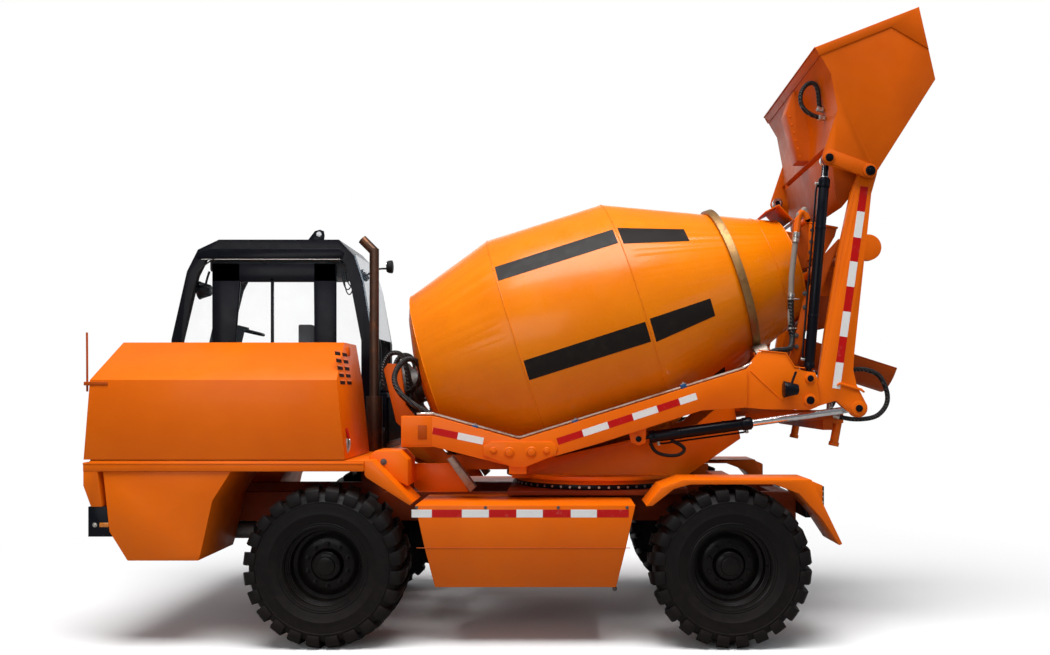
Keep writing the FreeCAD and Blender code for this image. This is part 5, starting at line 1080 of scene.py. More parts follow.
def makeBeamClamps():
    parts = []
    steel = []
    low, high = beamFit["pipes"]
    for (x, z), slope in zip(beamFit["clamps"], beamFit["slopes"]):
        turn = (0, -math.radians(slope), 0)
        clamp = block((x - 0.021, -high - 0.018, z - 0.03), (x + 0.021, -low + 0.014, z + 0.006), 0.005,
                      turn)
        parts.append(clamp)
        steel += [block((x - 0.019, -high - 0.016, z + 0.005), (x + 0.019, -low + 0.012, z + 0.009), 0.001,
                        turn)]
        steel += boltHead((x, -(low + high) / 2, z + 0.009), (0, 0, 1), 0.008, 0.007)
    pairUp("pipeClamps", parts, "turret", "clampBlue")
    ends = []
    for y in beamFit["pipes"]:
        for (x, z), (u, w) in (((-0.64, 1.5455), (-0.585, 1.5455)), ((1.6, 1.884), (1.65, 1.908))):
            ends.append(rod((x, -y, z), (u, -y, w), 0.013, 6, 0.0015))
            ends.append(rod((x - (u - x) * 0.7, -y, z - (w - z) * 0.7), (x, -y, z), 0.011, 18, 0.0015))
    pairUp("pipeUnions", ends + steel, "turret", "zincSteel")


def makePipes():
    tubes = []
    for y in beamFit["pipes"]:
        pipe = tube([(x, -y, z) for x, z in beamFit["pipeRoute"]], 0.0105, 14)
        tubes += [pipe, mirrored(pipe)]
    assemble("beamPipesSmooth", tubes, "turret", "bareSteel", ("beam_pipes",))


def makeBlockPad():
    y = -beamFit["face"]
    pad = block((-0.8, y - 0.004, 1.33), (-0.592, y + 0.002, 1.528), 0.004)
    window = block((-0.685, y - 0.008, 1.372), (-0.622, y - 0.002, 1.47), 0.004)
    pairUp("beamBlockPad", [pad], "turret", "orangeEnamel")
    pairUp("beamReflector", [window], "turret", "redEnamel")


def makePinHeads():
    rings, heads = [], []
    for x, z, radius in beamFit["bolts"]:
        y = -beamFit["fork"] if x > 1 else -beamFit["lug"]
        rings.append(rod((x, y, z), (x, y - 0.01, z), radius * 1.55, 32, 0.002))
        heads.append(rod((x, y - 0.01, z), (x, y - 0.018, z), radius, 28, 0.003))
        heads += boltHead((x, y - 0.018, z), (0, -1, 0), radius * 0.5, 0.006)
    pairUp("pinRings", rings, "turret", "orangeEnamel")
    pairUp("pinHeads", heads, "turret", "blackEnamel")


def makeForkSeam():
    # the fold across each pivot plate and the flat bar along its top edge
    y = -beamFit["fork"]
    seam = tube([(1.6, y - 0.0015, 1.845), (1.69, y - 0.0015, 1.76), (1.82, y - 0.0015, 1.64)], 0.004, 6,
                False)
    bar = tube([(1.655, y - 0.001, 1.985), (1.845, y - 0.001, 1.965), (1.905, y - 0.001, 1.87),
                (1.975, y - 0.001, 1.862)], 0.0045, 8, False)
    pairUp("forkSeams", [seam, bar], "turret", "orangeEnamel")


makeFishplate()
makePipes()
makeBeamClamps()
makeBlockPad()
makePinHeads()
makeForkSeam()
print("stage: loader beams")


# arms and cylinders: heel rims, weld beads, and each barrel's head, gland, oil pipe and unions

armFit = {
    "out": 0.799,
    "heelBar": [(2.205, 1.752), (2.225, 1.765), (2.375, 1.722), (2.398, 1.7), (2.392, 1.69), (2.365, 1.707),
                (2.222, 1.748), (2.206, 1.738)],
    "boss": (2.356, 1.584), "weldFace": 0.7985,
    "weld": [(2.095, 1.85), (2.15, 2.12), (2.235, 2.66), (2.33, 3.1)],
}


def makeArmDetails():
    y = -armFit["out"]
    rims, dark = [], []
    x, z = armFit["boss"]
    rims.append(rod((x, y - 0.008, z), (x, y - 0.013, z), 0.052, 36, 0.003))
    dark.append(rod((x, y - 0.012, z), (x, y - 0.021, z), 0.025, 28, 0.004))
    dark += boltHead((x, y - 0.021, z), (0, -1, 0), 0.012, 0.006)
    rims.append(prism(armFit["heelBar"], "XZ", y - 0.012, y + 0.002, 0.003))
    for number in range(2):         # grease nipples
        dark.append(rod((2.06 + 0.3 * number, y, 1.7 - 0.07 * number),
                        (2.06 + 0.3 * number, y - 0.012, 1.7 - 0.07 * number), 0.005, 6, 0.001))
    pairUp("heelRims", rims, "arms", "orangeEnamel")
    pairUp("heelPins", dark, "arms", "blackEnamel")
    # the weld bead where the blade's two plates meet
    weld = tube([(x, -armFit["weldFace"], z) for x, z in armFit["weld"]], 0.0022, 6, False)
    pairUp("armWeld", [weld], "arms", "orangeEnamel")


def alongRod(base, tip, at):
    length = math.hypot(tip[0] - base[0], tip[1] - base[1])
    return (base[0] + (tip[0] - base[0]) * at / length, base[1] + (tip[1] - base[1]) * at / length)


rodLine = 0.772         # how far each cylinder's centre line lies from the middle
rodFit = {
    "lift": {"base": (0.833, 1.372), "tip": (2.356, 1.584), "end": 0.79, "start": 0.076, "radius": 0.04,
             "rod": 0.025, "body": "lift_barrels"},
    "tilt": {"base": (2.013, 1.79), "tip": (2.137, 3.304), "end": 1.39, "start": 0.07, "radius": 0.036,
             "rod": 0.022, "body": "tilt_barrels"},
}


def makeCylinderDetails():
    y = -rodLine
    for name, fit in rodFit.items():
        def at(along, fit=fit):
            return alongRod(fit["base"], fit["tip"], along)

        radius = fit["radius"]
        dark, steel = [], []
        (ax, az), (bx, bz) = at(fit["end"] - 0.06), at(fit["end"])
        dark.append(band((ax, y, az), (bx, y, bz), radius * 1.13, radius * 0.98))
        cx, cz = at(fit["end"] + 0.01)
        dark.append(band((bx, y, bz), (cx, y, cz), radius * 0.88, fit["rod"] + 0.0015))
        dx, dz = at(fit["start"] + 0.004)
        ex, ez = at(fit["start"] + 0.04)
        dark.append(band((dx, y, dz), (ex, y, ez), radius * 1.09, radius * 0.98))
        ux, uz = (bx - ax) / 0.06, (bz - az) / 0.06
        side = -1 if name == "lift" else 1
        nx, nz = -uz * side, ux * side          # the side that the oil pipe runs along
        reach = radius + 0.016
        first = at(fit["start"] + 0.06)
        last = at(fit["end"] - 0.035)
        path = [(first[0] + nx * reach * 0.6, y, first[1] + nz * reach * 0.6),
                (first[0] + nx * reach, y, first[1] + nz * reach)]
        for share in (0.1, 0.5, 0.9):
            path.append((first[0] + (last[0] - first[0]) * share + nx * reach, y,
                         first[1] + (last[1] - first[1]) * share + nz * reach))
        path += [(last[0] + nx * reach, y, last[1] + nz * reach),
                 (last[0] + nx * reach * 0.6, y, last[1] + nz * reach * 0.6)]
        dark.append(tube(path, 0.0075, 10))
        for share in (0.25, 0.75):              # pipe clips
            px, pz = first[0] + (last[0] - first[0]) * share, first[1] + (last[1] - first[1]) * share
            dark.append(band((px - ux * 0.008, y, pz - uz * 0.008), (px + ux * 0.008, y, pz + uz * 0.008),
                             radius * 1.06, radius * 0.98))
        for end in (first, last):
            steel.append(rod((end[0] + nx * radius * 0.7, y, end[1] + nz * radius * 0.7),
                             (end[0] + nx * (reach + 0.01), y, end[1] + nz * (reach + 0.01)), 0.012, 6,
                             0.0015))
        pairUp(name + "Head", dark, fit["body"], "blackEnamel")
        pairUp(name + "Unions", steel, fit["body"], "zincSteel")


makeArmDetails()
makeCylinderDetails()
print("stage: arms and cylinders")


# bucket: cheek bands, lip bars, pin rings, guard rivets, edge bolts and the tilt rods' heads

bucketFit = {
    "band": [(2.04, 4.061), (2.754, 4.338), (2.82, 4.051), (2.565, 4.2015), (2.0716, 4.0066)],
    "cheek": 0.85, "fold": (2.0765, 4.01), "lip": (2.041, 4.06),
    "pins": [(2.418, 3.215, 0.034), (2.137, 3.304, 0.028)],
    "guard": [(-0.397, 0.615), (-0.306, 0.255)], "lipHalf": 0.848,
}


def makeBucketDetails():
    y = -bucketFit["cheek"]
    band = prism(bucketFit["band"], "XZ", y - 0.006, y + 0.001, 0.002)
    wear = prism([(2.1, 3.285), (2.4, 3.165), (2.452, 3.2), (2.425, 3.262), (2.155, 3.362), (2.112, 3.345)],
                 "XZ", y - 0.005, y + 0.001, 0.002)
    rings, heads = [], []
    for x, z, radius in bucketFit["pins"]:
        rings.append(rod((x, y - 0.006, z), (x, y - 0.0135, z), radius * 1.42, 36, 0.003))
        heads.append(rod((x, y - 0.013, z), (x, y - 0.022, z), radius, 32, 0.004))
        heads += boltHead((x, y - 0.022, z), (0, -1, 0), radius * 0.5, 0.006)
    pairUp("cheekBands", [band, wear] + rings, "bucket", "bucketEnamel")
    pairUp("cheekPins", heads, "bucket", "blackEnamel")
    x, z = bucketFit["fold"]
    half = bucketFit["lipHalf"]
    bars = [rod((x, -half, z), (x, half, z), 0.0055, 10, 0.001)]
    u, w = bucketFit["lip"]
    bars.append(rod((u, -half, w), (u, half, w), 0.0065, 10, 0.001))
    bars.append(prism([(2.752, 4.338), (2.757, 4.341), (2.868, 3.845), (2.863, 3.842)], "XZ", -0.8, 0.8,
                      0.001, 1))
    assemble("lipBars", bars, "bucket", "redEnamel")
    rivets = []
    px, pz = bucketFit["pins"][0][:2]
    (ax, az), (bx, bz) = bucketFit["guard"]
    for number in range(6):
        share = 0.08 + 0.168 * number
        x, z = px + ax + (bx - ax) * share, pz + az + (bz - az) * share
        rivets.append(rod((x + 0.016, -0.0895, z), (x + 0.016, -0.094, z), 0.0075, 14, 0.002))
    assemble("guardRivets", rivets, "bucket", "orangeEnamel")
    bolts = []                      # along the cutting edge
    for number in range(9):
        y = -0.72 + 0.18 * number
        bolts += boltHead((2.815, y, 4.068), (0.976, 0, 0.218), 0.012, 0.007)
    settle(joined("edgeBolts", bolts), "bucket", "castIron")


def makeRodHeads():
    # black clevis heads on the tilt rods
    y, dark = -rodLine, []
    tip, base = rodFit["tilt"]["tip"], rodFit["tilt"]["base"]
    length = math.hypot(tip[0] - base[0], tip[1] - base[1])
    a, b = alongRod(base, tip, length - 0.112), alongRod(base, tip, length - 0.035)
    dark.append(rod((a[0], y, a[1]), (b[0], y, b[1]), 0.0255, 8, 0.004))
    dark.append(rod((tip[0], y - 0.0135, tip[1]), (tip[0], y + 0.0135, tip[1]), 0.041, 32, 0.003))
    pairUp("tiltHeads", dark, "tilt_rods", "blackEnamel")


makeBucketDetails()
makeRodHeads()
print("stage: bucket")


# drum: plain black bands, welded seams, the gearbox flange's bolts and the motor's fins and ports

drumFit = {
    "place": (1.207, 0.0, 2.383), "slope": 17.6,
    "bands": [((-1.254, 4.4), (-0.381, 4.6), (-0.381, -4.6), (-1.257, -4.6)),
              ((-0.345, 5.2), (0.124, 5.0), (0.125, -5.6), (-0.347, -5.6))],
    "firstTurn": 37.9, "turnStep": 48.6, "sets": 7,
    "profile": [(-1.944, 0.67), (-1.267, 0.895), (-0.363, 0.895), (0.883, 0.38)],
    "lift": 0.0014,
}


def drumRadiusAt(along):
    rows = drumFit["profile"]
    for (a, r), (b, s) in zip(rows, rows[1:]):
        if along <= b:
            return r + (s - r) * (along - a) / (b - a)
    return rows[-1][1]


def drumPoint(along, radius, turn):
    # a place on the drum: turn 0 faces -Y, turn 90 faces up
    slope = math.radians(drumFit["slope"])
    side, up = -radius * math.cos(turn), radius * math.sin(turn)
    x0, y0, z0 = drumFit["place"]
    return (x0 + along * math.cos(slope) - up * math.sin(slope), y0 + side,
            z0 + along * math.sin(slope) + up * math.cos(slope))


def drumPatch(corners, name, columns=14, rows=5):
    # a film wrapped on the drum between four (along, turn) corners
    clearPick()
    bpy.ops.mesh.primitive_grid_add(x_subdivisions=columns, y_subdivisions=rows, size=2)
    piece = bpy.context.object
    piece.name = name
    (a0, t0), (a1, t1), (a2, t2), (a3, t3) = corners
    for vertex in piece.data.vertices:
        u, v = (vertex.co.x + 1) / 2, (vertex.co.y + 1) / 2
        low = (a0 + (a1 - a0) * u, t0 + (t1 - t0) * u)
        high = (a3 + (a2 - a3) * u, t3 + (t2 - t3) * u)
        along, turn = low[0] + (high[0] - low[0]) * v, low[1] + (high[1] - low[1]) * v
        vertex.co = drumPoint(along, drumRadiusAt(along) + drumFit["lift"], math.radians(turn))
    bpy.ops.object.mode_set(mode="EDIT")
    bpy.ops.mesh.select_all(action="SELECT")
    bpy.ops.mesh.normals_make_consistent(inside=False)
    bpy.ops.object.mode_set(mode="OBJECT")
    return smoothed(piece)


def makeDrumBands():
    patches = []
    for number in range(drumFit["sets"]):
        middle = drumFit["firstTurn"] - drumFit["turnStep"] * number
        for corners in drumFit["bands"]:
            patches.append(drumPatch([(along, middle + turn) for along, turn in corners], "bandPatch"))
    settle(joined("drumBands", patches), "drum", "blackBand")


def ringAt(along, radius, thick, sides=96):
    x0, y0, z0 = drumPoint(along, 0, 0)
    clearPick()
    turn = (0, math.radians(90 - drumFit["slope"]), 0)
    bpy.ops.mesh.primitive_torus_add(major_radius=radius, minor_radius=thick, major_segments=sides,
                                     minor_segments=8, location=(x0, y0, z0), rotation=turn)
    return smoothed(bpy.context.object, 60)


def makeDrumSeams():
    beads = [ringAt(along, radius + 0.0005, 0.004) for along, radius in drumFit["profile"][:3]]
    beads.append(ringAt(0.876, 0.384, 0.007))
    beads.append(ringAt(0.7, drumRadiusAt(0.7) + 0.001, 0.003))
    settle(joined("drumWelds", beads), "drum", "drumEnamel")
    bolts = []
    for number in range(12):        # the ring of bolts that holds the gearbox's flange
        turn = math.radians(30 * number)
        start = Vector(drumPoint(-2.058, 0.235, turn))
        along = Vector(drumPoint(-2.158, 0.235, turn)) - start
        bolts += boltHead(start, along.normalized(), 0.013, 0.009)
    settle(joined("tailBolts", bolts), "drum", "castIron")


def makeGearboxDetails():
    # fins and ports on the drum's motor
    parts, steel = [], []
    for number in range(4):
        parts.append(ringAt(-2.244 - 0.018 * number, 0.0905, 0.0035, 48))
    for turn in (40, 140):
        first = Vector(drumPoint(-2.275, 0.08, math.radians(turn)))
        last = Vector(drumPoint(-2.275, 0.112, math.radians(turn)))
        steel.append(rod(first, last, 0.015, 6, 0.002))
    settle(joined("motorFins", parts), "turret", "castIron")
    settle(joined("motorPorts", steel), "turret", "zincSteel")


makeDrumBands()
makeDrumSeams()
makeGearboxDetails()
print("stage: drum")


# turret: ring bolts, hopper rim and apron, water pipe sleeves, stop leg, chute rim and lamps

turretFit = {
    "slew": (0.567, 0.0), "boltRing": 0.6205, "boltHeight": 1.018, "boltCount": 56,
    "apron": [(1.828, 3.052), (1.93, 3.104), (2.036, 2.99), (2.028, 2.984), (1.929, 3.094), (1.831, 3.044)],
    "rim": [(2.04, 2.985), (2.361, 2.925)], "rimHalf": 0.252, "apronHalf": 0.235,
    "flange": [(2.15, 2.955), (2.205, 2.945), (2.185, 2.7), (2.135, 2.68)], "flangeFace": 0.262,
    # (x, z, distance from the middle, radius, height of head)
    "bolts": [(2.172, 2.905, 0.262, 0.01, 0.007), (2.165, 2.82, 0.262, 0.01, 0.007),
              (2.158, 2.74, 0.262, 0.01, 0.007), (1.975, 2.02, 0.59, 0.011, 0.008),
              (1.975, 2.1, 0.59, 0.011, 0.008), (2.035, 2.3, 0.59, 0.011, 0.008),
              (2.035, 2.4, 0.59, 0.011, 0.008)],
    "waterTop": [(1.974, 2.795), (1.985, 2.88), (1.995, 2.96), (2.035, 3.0), (2.061, 2.93)],
    "waterLow": [(1.95, 2.095), (1.935, 2.23), (1.9405, 2.38)],
    "link": [(1.7, -0.767, 1.938), (1.77, -0.765, 1.985), (1.85, -0.74, 1.99), (1.915, -0.665, 2.0),
             (1.945, -0.59, 2.05), (1.95, -0.575, 2.115)],
}


def makeRingBolts():
    bolts = []
    x0, y0 = turretFit["slew"]
    for number in range(turretFit["boltCount"]):
        turn = math.radians(360 / turretFit["boltCount"] * number)
        dx, dy = math.cos(turn), math.sin(turn)
        start = Vector((x0 + dx * turretFit["boltRing"], y0 + dy * turretFit["boltRing"],
                        turretFit["boltHeight"]))
        bolts.append(rod(start, start + Vector((dx, dy, 0)) * 0.007, 0.01, 6, 0.001))
    settle(joined("ringBolts", bolts), "chassis", "zincSteel")


def makeHopperDetails():
    (ax, az), (bx, bz) = turretFit["rim"]
    rims = []
    half = turretFit["rimHalf"]
    for y in (-half, half):
        rims.append(tube([(ax, y, az), ((ax + bx) / 2, y, (az + bz) / 2), (bx, y, bz)], 0.008, 8, False))
    rims.append(rod((bx, -half, bz), (bx, half, bz), 0.008, 10, 0.001))
    rims.append(prism(turretFit["apron"], "XZ", -turretFit["apronHalf"], turretFit["apronHalf"], 0.002))
    flange = prism(turretFit["flange"], "XZ", -turretFit["flangeFace"], -0.25, 0.002)
    rims += [flange, mirrored(flange)]
    assemble("hopperRims", rims, "turret", "orangeEnamel")
    bolts = []
    for x, z, side, radius, high in turretFit["bolts"]:
        for way in (-1, 1):
            bolts += boltHead((x, side * way, z), (0, way, 0), radius, high)
    settle(joined("hopperBolts", bolts), "turret", "castIron")


def makeWaterSleeves():
    y = -0.575
    top = [tube([(x, y, z) for x, z in turretFit["waterTop"]], 0.0225, 16),
           rod((2.061, y, 2.93), (2.061, -turretFit["rimHalf"], 2.93), 0.0225, 20)]
    assemble("waterPipeTop", top, "turret", "orangeEnamel")
    low = [tube([(x, y, z) for x, z in turretFit["waterLow"]], 0.023, 16),
           tube(turretFit["link"], 0.02, 14)]
    assemble("waterHoseLow", low, "turret", "spiralHose")
    (ax, az), (bx, bz) = turretFit["waterTop"][:2]
    unions = [rod((ax - 0.004, y, az - 0.03), (ax, y, az), 0.027, 8, 0.002),
              rod((ax, y, az), ((ax + bx) / 2, y, (az + bz) / 2), 0.0255, 24, 0.002),
              rod((1.9405, y, 2.37), (1.943, y, 2.402), 0.0265, 20, 0.002)]
    for z in (2.15, 2.36):        # stays that hold the hose to its upright
        unions.append(rod((1.945, y, z), (2.0, y, z), 0.006, 10, 0.001))
        unions.append(rod((1.938, y, z - 0.006), (1.938, y, z + 0.006), 0.0265, 20, 0.001))
    assemble("waterUnions", unions, "turret", "zincSteel")


def makeStopLeg():
    # short tubes under the rear cross beam that the lowered arms rest beside
    parts = [rod((2.272, -0.6, 1.51), (2.238, -0.6, 1.325), 0.03, 24, 0.004),
             rod((2.242, -0.6, 1.342), (2.236, -0.6, 1.313), 0.036, 24, 0.004),
             block((2.206, -0.632, 1.475), (2.3, -0.568, 1.545), 0.006)]
    pairUp("stopLegs", parts, "turret", "orangeEnamel")


chuteFit = {"slope": 17.7, "top": (2.195, 0, 2.08), "half": 0.186, "long": 0.735, "arcSteps": 12}


def makeChuteRim():
    slope = math.radians(chuteFit["slope"])
    half = chuteFit["half"]
    along = Vector((math.cos(slope), 0, -math.sin(slope)))
    up = Vector((math.sin(slope), 0, math.cos(slope)))
    start = Vector(chuteFit["top"]) - along * 0.07
    rims = []
    for side in (-1, 1):
        base = start + Vector((0, half * side, 0)) + up * -0.004
        rims.append(tube([base, base + along * 0.36, base + along * chuteFit["long"]], 0.007, 8, False))
    arc = []
    for number in range(chuteFit["arcSteps"] + 1):
        turn = math.radians(180 / chuteFit["arcSteps"] * number)
        arc.append(start + along * 0.733 + Vector((0, -half * math.cos(turn), 0))
                   - up * (half * math.sin(turn)))
    rims.append(tube(arc, 0.006, 8))
    assemble("chuteRim", rims, "chute", "redEnamel")


lensFit = {"tail": (0.548, 0.632), "turn": (0.64, 0.684), "sunk": 0.002, "proud": 0.01, "edge": 0.014}


def lensBlock(low, high, reach, side):
    y0, y1 = sorted((reach[0] * side, reach[1] * side))
    return block((high[0] - lensFit["sunk"], y0, low[2] + lensFit["edge"]),
                 (high[0] + lensFit["proud"], y1, high[2] - lensFit["edge"]), 0.004)


def makeLamps():
    low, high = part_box("rear_lamps")
    lenses, ambers = [], []
    for side in (-1, 1):
        lenses.append(lensBlock(low, high, lensFit["tail"], side))
        ambers.append(lensBlock(low, high, lensFit["turn"], side))
    assemble("tailLenses", lenses, "chassis", "redLens")
    assemble("turnLenses", ambers, "chassis", "amberLens")
    work = roundLamp((1.87, -0.9, 1.715), 0.055, 0.09, "turretWorkLamp")
    settle(smoothed(work), "turret", "blackEnamel")


makeRingBolts()
makeHopperDetails()
makeWaterSleeves()
makeStopLeg()
makeChuteRim()
makeLamps()
print("stage: turret")


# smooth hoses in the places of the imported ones, with crimped steel ends

hoseFit = {
    "motor_hoses": {"body": "turret", "radius": 0.019, "sides": (-0.23, 0.23), "route": [
        (-0.927, 1.706), (-0.979, 1.69), (-1.035, 1.755), (-1.041, 1.893), (-0.989, 1.993), (-0.901, 1.99),
        (-0.863, 1.895), (-0.839, 1.711), (-0.801, 1.461), (-0.641, 1.258), (-0.441, 1.165),
        (-0.251, 1.152), (-0.13, 1.15), (-0.062, 1.14), (-0.06, 1.1)]},
    "heel_hoses": {"body": "turret", "radius": 0.017, "sides": (-0.67, 0.67), "route": [
        (2.208, 1.535), (2.3, 1.51), (2.396, 1.502), (2.5, 1.515), (2.556, 1.55), (2.6, 1.62), (2.598, 1.7),
        (2.56, 1.79), (2.52, 1.83), (2.45, 1.856), (2.37, 1.86), (2.3, 1.83), (2.26, 1.78),
        (2.2, 1.68), (2.19, 1.65), (2.19, 1.572)]},
    "bucket_hose": {"body": "bucket", "radius": 0.016, "sides": (-0.56,), "route": [
        (2.189, 3.655), (2.098, 3.67), (2.02, 3.735), (2.006, 3.825), (2.046, 3.895), (2.096, 3.917),
        (2.132, 3.883), (2.142, 3.805), (2.146, 3.745), (2.156, 3.72), (2.177, 3.715)]},
}
hoseLinks = {
    "front": [(-0.61, -0.767, 1.5455), (-0.7, -0.767, 1.59), (-0.815, -0.76, 1.67), (-0.88, -0.72, 1.78),
              (-0.856, -0.66, 1.88), (-0.794, -0.6, 1.942), (-0.723, -0.54, 1.91), (-0.712, -0.46, 1.8),
              (-0.8, -0.33, 1.7), (-0.905, -0.25, 1.68)],
    "lift": [(1.06, -0.772, 1.362), (1.135, -0.766, 1.33), (1.165, -0.76, 1.29), (1.11, -0.752, 1.252),
             (1.01, -0.75, 1.255), (0.935, -0.756, 1.29), (0.92, -0.768, 1.345)],
}


def makeHoses():
    for name, fit in hoseFit.items():
        tubes = [tube([(x, y, z) for x, z in fit["route"]], fit["radius"], 16) for y in fit["sides"]]
        assemble(name + "Smooth", tubes, fit["body"], "spiralHose", (name,))
        ends = []
        for y in fit["sides"]:
            for first, second in ((fit["route"][0], fit["route"][1]), (fit["route"][-1], fit["route"][-2])):
                along = (Vector((second[0], 0, second[1])) - Vector((first[0], 0, first[1]))).normalized()
                start = Vector((first[0], y, first[1]))
                ends.append(rod(start, start + along * 0.018, fit["radius"] * 1.35, 6, 0.002))
                ends.append(rod(start + along * 0.016, start + along * 0.05, fit["radius"] * 1.22, 20,
                                0.002))
        assemble(name + "Ends", ends, fit["body"], "zincSteel")
    pairUp("frontLinks", [tube(hoseLinks["front"], 0.02, 16)], "turret", "spiralHose")
    lift = [tube(hoseLinks["lift"], 0.013, 14)]
    pairUp("liftLinks", lift, "lift_barrels", "hoseRubber")


makeHoses()
print("stage: hoses")


# sheet metal between the cab's deck and the tanks, the boxed ends of the rear fenders, and the oil cooler

bodyFit = {
    "panel": [(-0.741, 1.19), (-0.47, 1.19), (-0.36, 0.992), (-0.7, 0.992), (-0.741, 1.03)],
    "wedge": [(-1.0, 1.18), (-1.0, 1.262), (-0.96, 1.3), (-0.79, 1.3), (-0.735, 1.24), (-0.735, 1.06)],
    "leaf": [(-0.505, 1.225), (-0.462, 1.245), (-0.3, 1.03), (-0.343, 0.992)],
    "cooler": {"low": (-1.19, 0.2, 1.24), "high": (-1.09, 0.9, 1.69), "fins": 22, "finStep": 0.03,
               "links": [
        [(-1.14, 0.205, 1.6), (-1.13, 0.12, 1.61), (-1.12, 0.06, 1.54), (-1.12, 0.04, 1.4),
         (-1.13, 0.04, 1.24)],
        [(-1.12, 0.205, 1.4), (-1.11, 0.14, 1.41), (-1.105, 0.09, 1.36), (-1.105, 0.07, 1.24)],
        [(-1.11, 0.45, 1.688), (-1.11, 0.45, 1.74), (-1.13, 0.4, 1.79), (-1.16, 0.34, 1.79),
         (-1.172, 0.3, 1.74), (-1.172, 0.29, 1.688)]]},
    "fenderEnd": [(1.88, 1.119), (1.943, 1.114), (2.016, 1.084), (2.016, 0.936), (1.93, 0.945),
                  (1.905, 1.0)],
}


def makeBodyPanels():
    frame = tube([(x, -0.641, z) for x, z in bodyFit["panel"] + bodyFit["panel"][:1]], 0.0035, 6, False)
    panels = [prism(bodyFit["panel"], "XZ", -0.64, -0.632, 0.002), frame,
              prism(bodyFit["wedge"], "XZ", -0.96, -0.64, 0.006)]
    bolts = boltHead((-0.9, -0.96, 1.225), (0, -1, 0), 0.014, 0.01)
    pairUp("deckWedges", panels, "chassis", "orangeEnamel")
    pairUp("wedgeBolts", bolts, "chassis", "castIron")
    leaf = [prism(bodyFit["leaf"], "XZ", -0.7, -0.6, 0.004)]
    for number in range(4):         # ribs across the leaning plate
        x, z = -0.47 + 0.04 * number, 1.236 - 0.053 * number
        leaf.append(block((x - 0.006, -0.698, z - 0.002), (x + 0.006, -0.602, z + 0.01), 0.002, None))
    pairUp("leaningPlates", leaf, "chassis", "bareSteel")


def makeFenderEnds():
    pairUp("fenderEnds", [prism(bodyFit["fenderEnd"], "XZ", -1.146, -0.8, 0.005)], "chassis",
           "orangeEnamel")
    back = block((2.012, -1.143, 0.942), (2.026, -0.83, 1.078), 0.004)
    pairUp("fenderBacks", [back], "chassis", "blackEnamel")
    lenses = [block((2.024, -1.12, 0.965), (2.032, -1.0, 1.055), 0.004)]
    ambers = [block((2.024, -0.985, 0.965), (2.032, -0.9, 1.055), 0.004)]
    pairUp("fenderLenses", lenses, "chassis", "redLens")
    pairUp("fenderAmbers", ambers, "chassis", "amberLens")
    studs = [rod((2.019, -1.143, z), (2.019, -1.148, z), 0.006, 12, 0.001) for z in (0.975, 1.01, 1.045)]
    pairUp("fenderStuds", studs, "chassis", "zincSteel")


def makeCooler():
    # the finned oil cooler behind the cab, with its filler cap and its hoses
    fit = bodyFit["cooler"]
    parts = [block(fit["low"], fit["high"], 0.008)]
    x, top = fit["high"][0], fit["high"][2]
    for number in range(fit["fins"]):
        y = fit["low"][1] + 0.03 + number * fit["finStep"]
        parts.append(block((x - 0.002, y, 1.3), (x + 0.014, y + 0.006, top - 0.05), 0.001))
    for z in (1.29, top - 0.048):
        parts.append(block((x - 0.002, fit["low"][1] + 0.01, z),
                           (x + 0.018, fit["high"][1] - 0.01, z + 0.014), 0.002))
    parts.append(rod((-1.13, 0.34, top - 0.002), (-1.13, 0.34, top + 0.026), 0.036, 24, 0.004))
    parts += boltHead((-1.13, 0.78, top), (0, 0, 1), 0.016, 0.018)
    body = smoothed(joined("oilCooler", parts))
    settle(body, "chassis", "blackEnamel")
    links = [tube(run, 0.017, 12) for run in fit["links"]]
    assemble("coolerLinks", links, "chassis", "hoseRubber")


makeBodyPanels()
makeFenderEnds()
makeCooler()
print("stage: sheet metal")


# the engine under the hood, in the place of its packed block

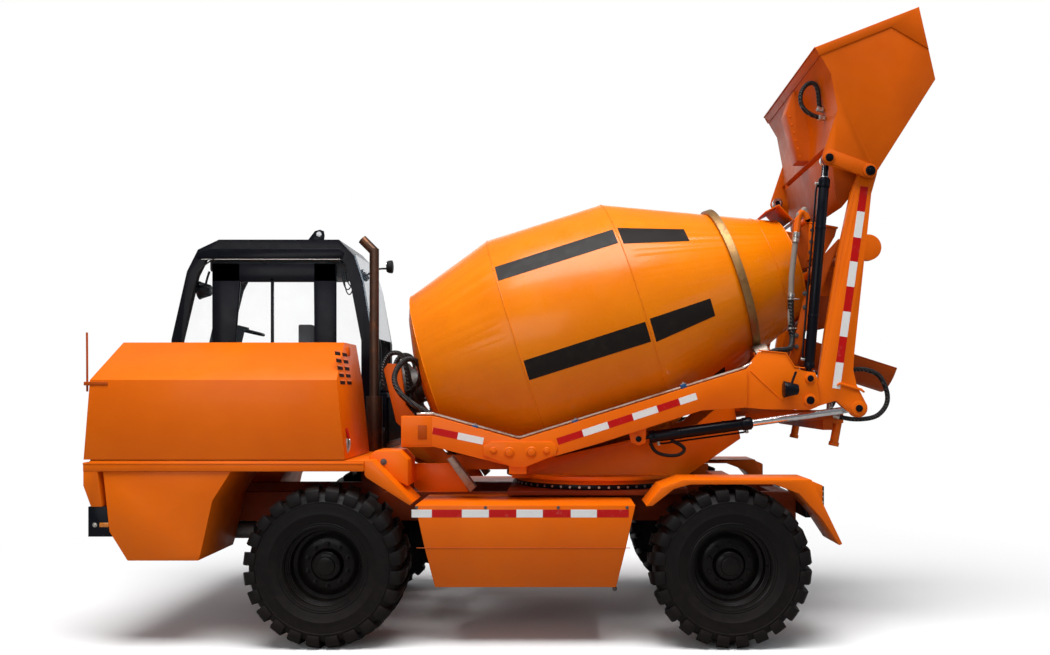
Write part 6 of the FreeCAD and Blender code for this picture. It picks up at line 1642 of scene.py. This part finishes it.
engineFit = {
    "castings": [((-2.3, -0.85, 1.33), (-1.64, -0.54, 1.6), 0.012),
                 ((-2.22, -0.8, 1.262), (-1.72, -0.59, 1.336), 0.02),
                 ((-1.65, -0.88, 1.3), (-1.56, -0.51, 1.66), 0.02),
                 ((-1.57, -0.8, 1.33), (-1.512, -0.59, 1.56), 0.015),
                 ((-2.34, -0.78, 1.34), (-2.29, -0.61, 1.59), 0.01)],
    "covers": [((-2.262, -0.8, 1.6), (-1.672, -0.59, 1.672), 0.018),
               ((-2.446, -0.918, 1.262), (-2.392, -0.472, 1.806), 0.006),
               ((-2.396, -0.88, 1.3), (-2.376, -0.51, 1.77), 0.004)],
    "feet": (-2.2, -1.72), "ribs": (-2.23, 0.135, 5), "fan": (-2.352, -0.695, 1.53), "blades": 7,
    "rods": [((-2.18, -0.64, 1.746), (-1.8, -0.64, 1.746), 0.056),
             ((-1.805, -0.64, 1.746), (-1.74, -0.64, 1.746), 0.04),
             ((-2.0, -0.53, 1.44), (-2.0, -0.478, 1.44), 0.045),
             ((-2.255, -0.88, 1.52), (-2.14, -0.88, 1.52), 0.036)],
    "pulleys": [((-2.362, -0.695, 1.4), 0.075), ((-2.362, -0.862, 1.52), 0.034),
                ((-2.362, -0.695, 1.53), 0.045)],
    "manifold": [(-2.18, -0.862, 1.63), (-2.16, -0.885, 1.64), (-1.9, -0.888, 1.64), (-1.76, -0.886, 1.65),
                 (-1.7, -0.87, 1.69), (-1.64, -0.82, 1.72)],
    "pipes": [[(-2.372, -0.56, 1.72), (-2.3, -0.56, 1.725), (-2.24, -0.58, 1.69), (-2.23, -0.6, 1.65)],
              [(-2.372, -0.86, 1.35), (-2.33, -0.872, 1.345), (-2.28, -0.872, 1.39), (-2.27, -0.84, 1.43)],
              [(-1.76, -0.64, 1.746), (-1.69, -0.66, 1.75), (-1.63, -0.72, 1.735), (-1.62, -0.76, 1.7)]],
}


def makeEngine():
    fit = engineFit
    cast = [block(low, high, bevel) for low, high, bevel in fit["castings"]]
    for x in fit["feet"]:
        for low, high in ((-0.895, -0.84), (-0.55, -0.495)):
            cast.append(block((x - 0.04, low, 1.246), (x + 0.04, high, 1.4), 0.006))
    first, step, count = fit["ribs"]
    for number in range(count):
        x = first + step * number
        cast.append(block((x, -0.858, 1.35), (x + 0.02, -0.532, 1.585), 0.004))
        cast.append(rod((x + 0.01, -0.845, 1.63), (x + 0.01, -0.885, 1.638), 0.02, 16, 0.002))
    assemble("engineCastings", cast, "chassis", "castIron", ("engine_block",))
    dark = [block(low, high, bevel) for low, high, bevel in fit["covers"]]
    dark += [rod(start, end, radius, 32, 0.006) for start, end, radius in fit["rods"]]
    dark += [rod(place, (place[0] + 0.024, *place[1:]), radius, 36, 0.004)
             for place, radius in fit["pulleys"]]
    for number in range(9):         # the radiator's core
        y = -0.87 + 0.044 * number
        dark.append(block((-2.38, y, 1.31), (-2.371, y + 0.008, 1.76), 0.0))
    x, y, z = fit["fan"]
    for number in range(fit["blades"]):
        angle = 2 * math.pi * number / fit["blades"]
        blade = block((x - 0.005, y - 0.03, z + 0.03), (x + 0.005, y + 0.03, z + 0.165), 0.002)
        turned = Matrix.Translation((x, y, z)) @ Matrix.Rotation(angle, 4, "X")
        blade.data.transform(turned @ Matrix.Translation((-x, -y, -z)))
        dark.append(blade)
    assemble("engineCovers", dark, "chassis", "blackEnamel")
    steel = [tube(fit["manifold"], 0.026, 16)]
    for number in range(10):
        steel += boltHead((-2.25 + 0.064 * number, -0.806, 1.64), (0, -1, 0), 0.009, 0.007)
    assemble("engineManifold", steel, "chassis", "exhaustSteel")
    pipes = [tube(run, 0.021, 14) for run in fit["pipes"]]
    assemble("engineHoses", pipes, "chassis", "hoseRubber")


makeEngine()
print("stage: engine")


print("stage: all pieces made")
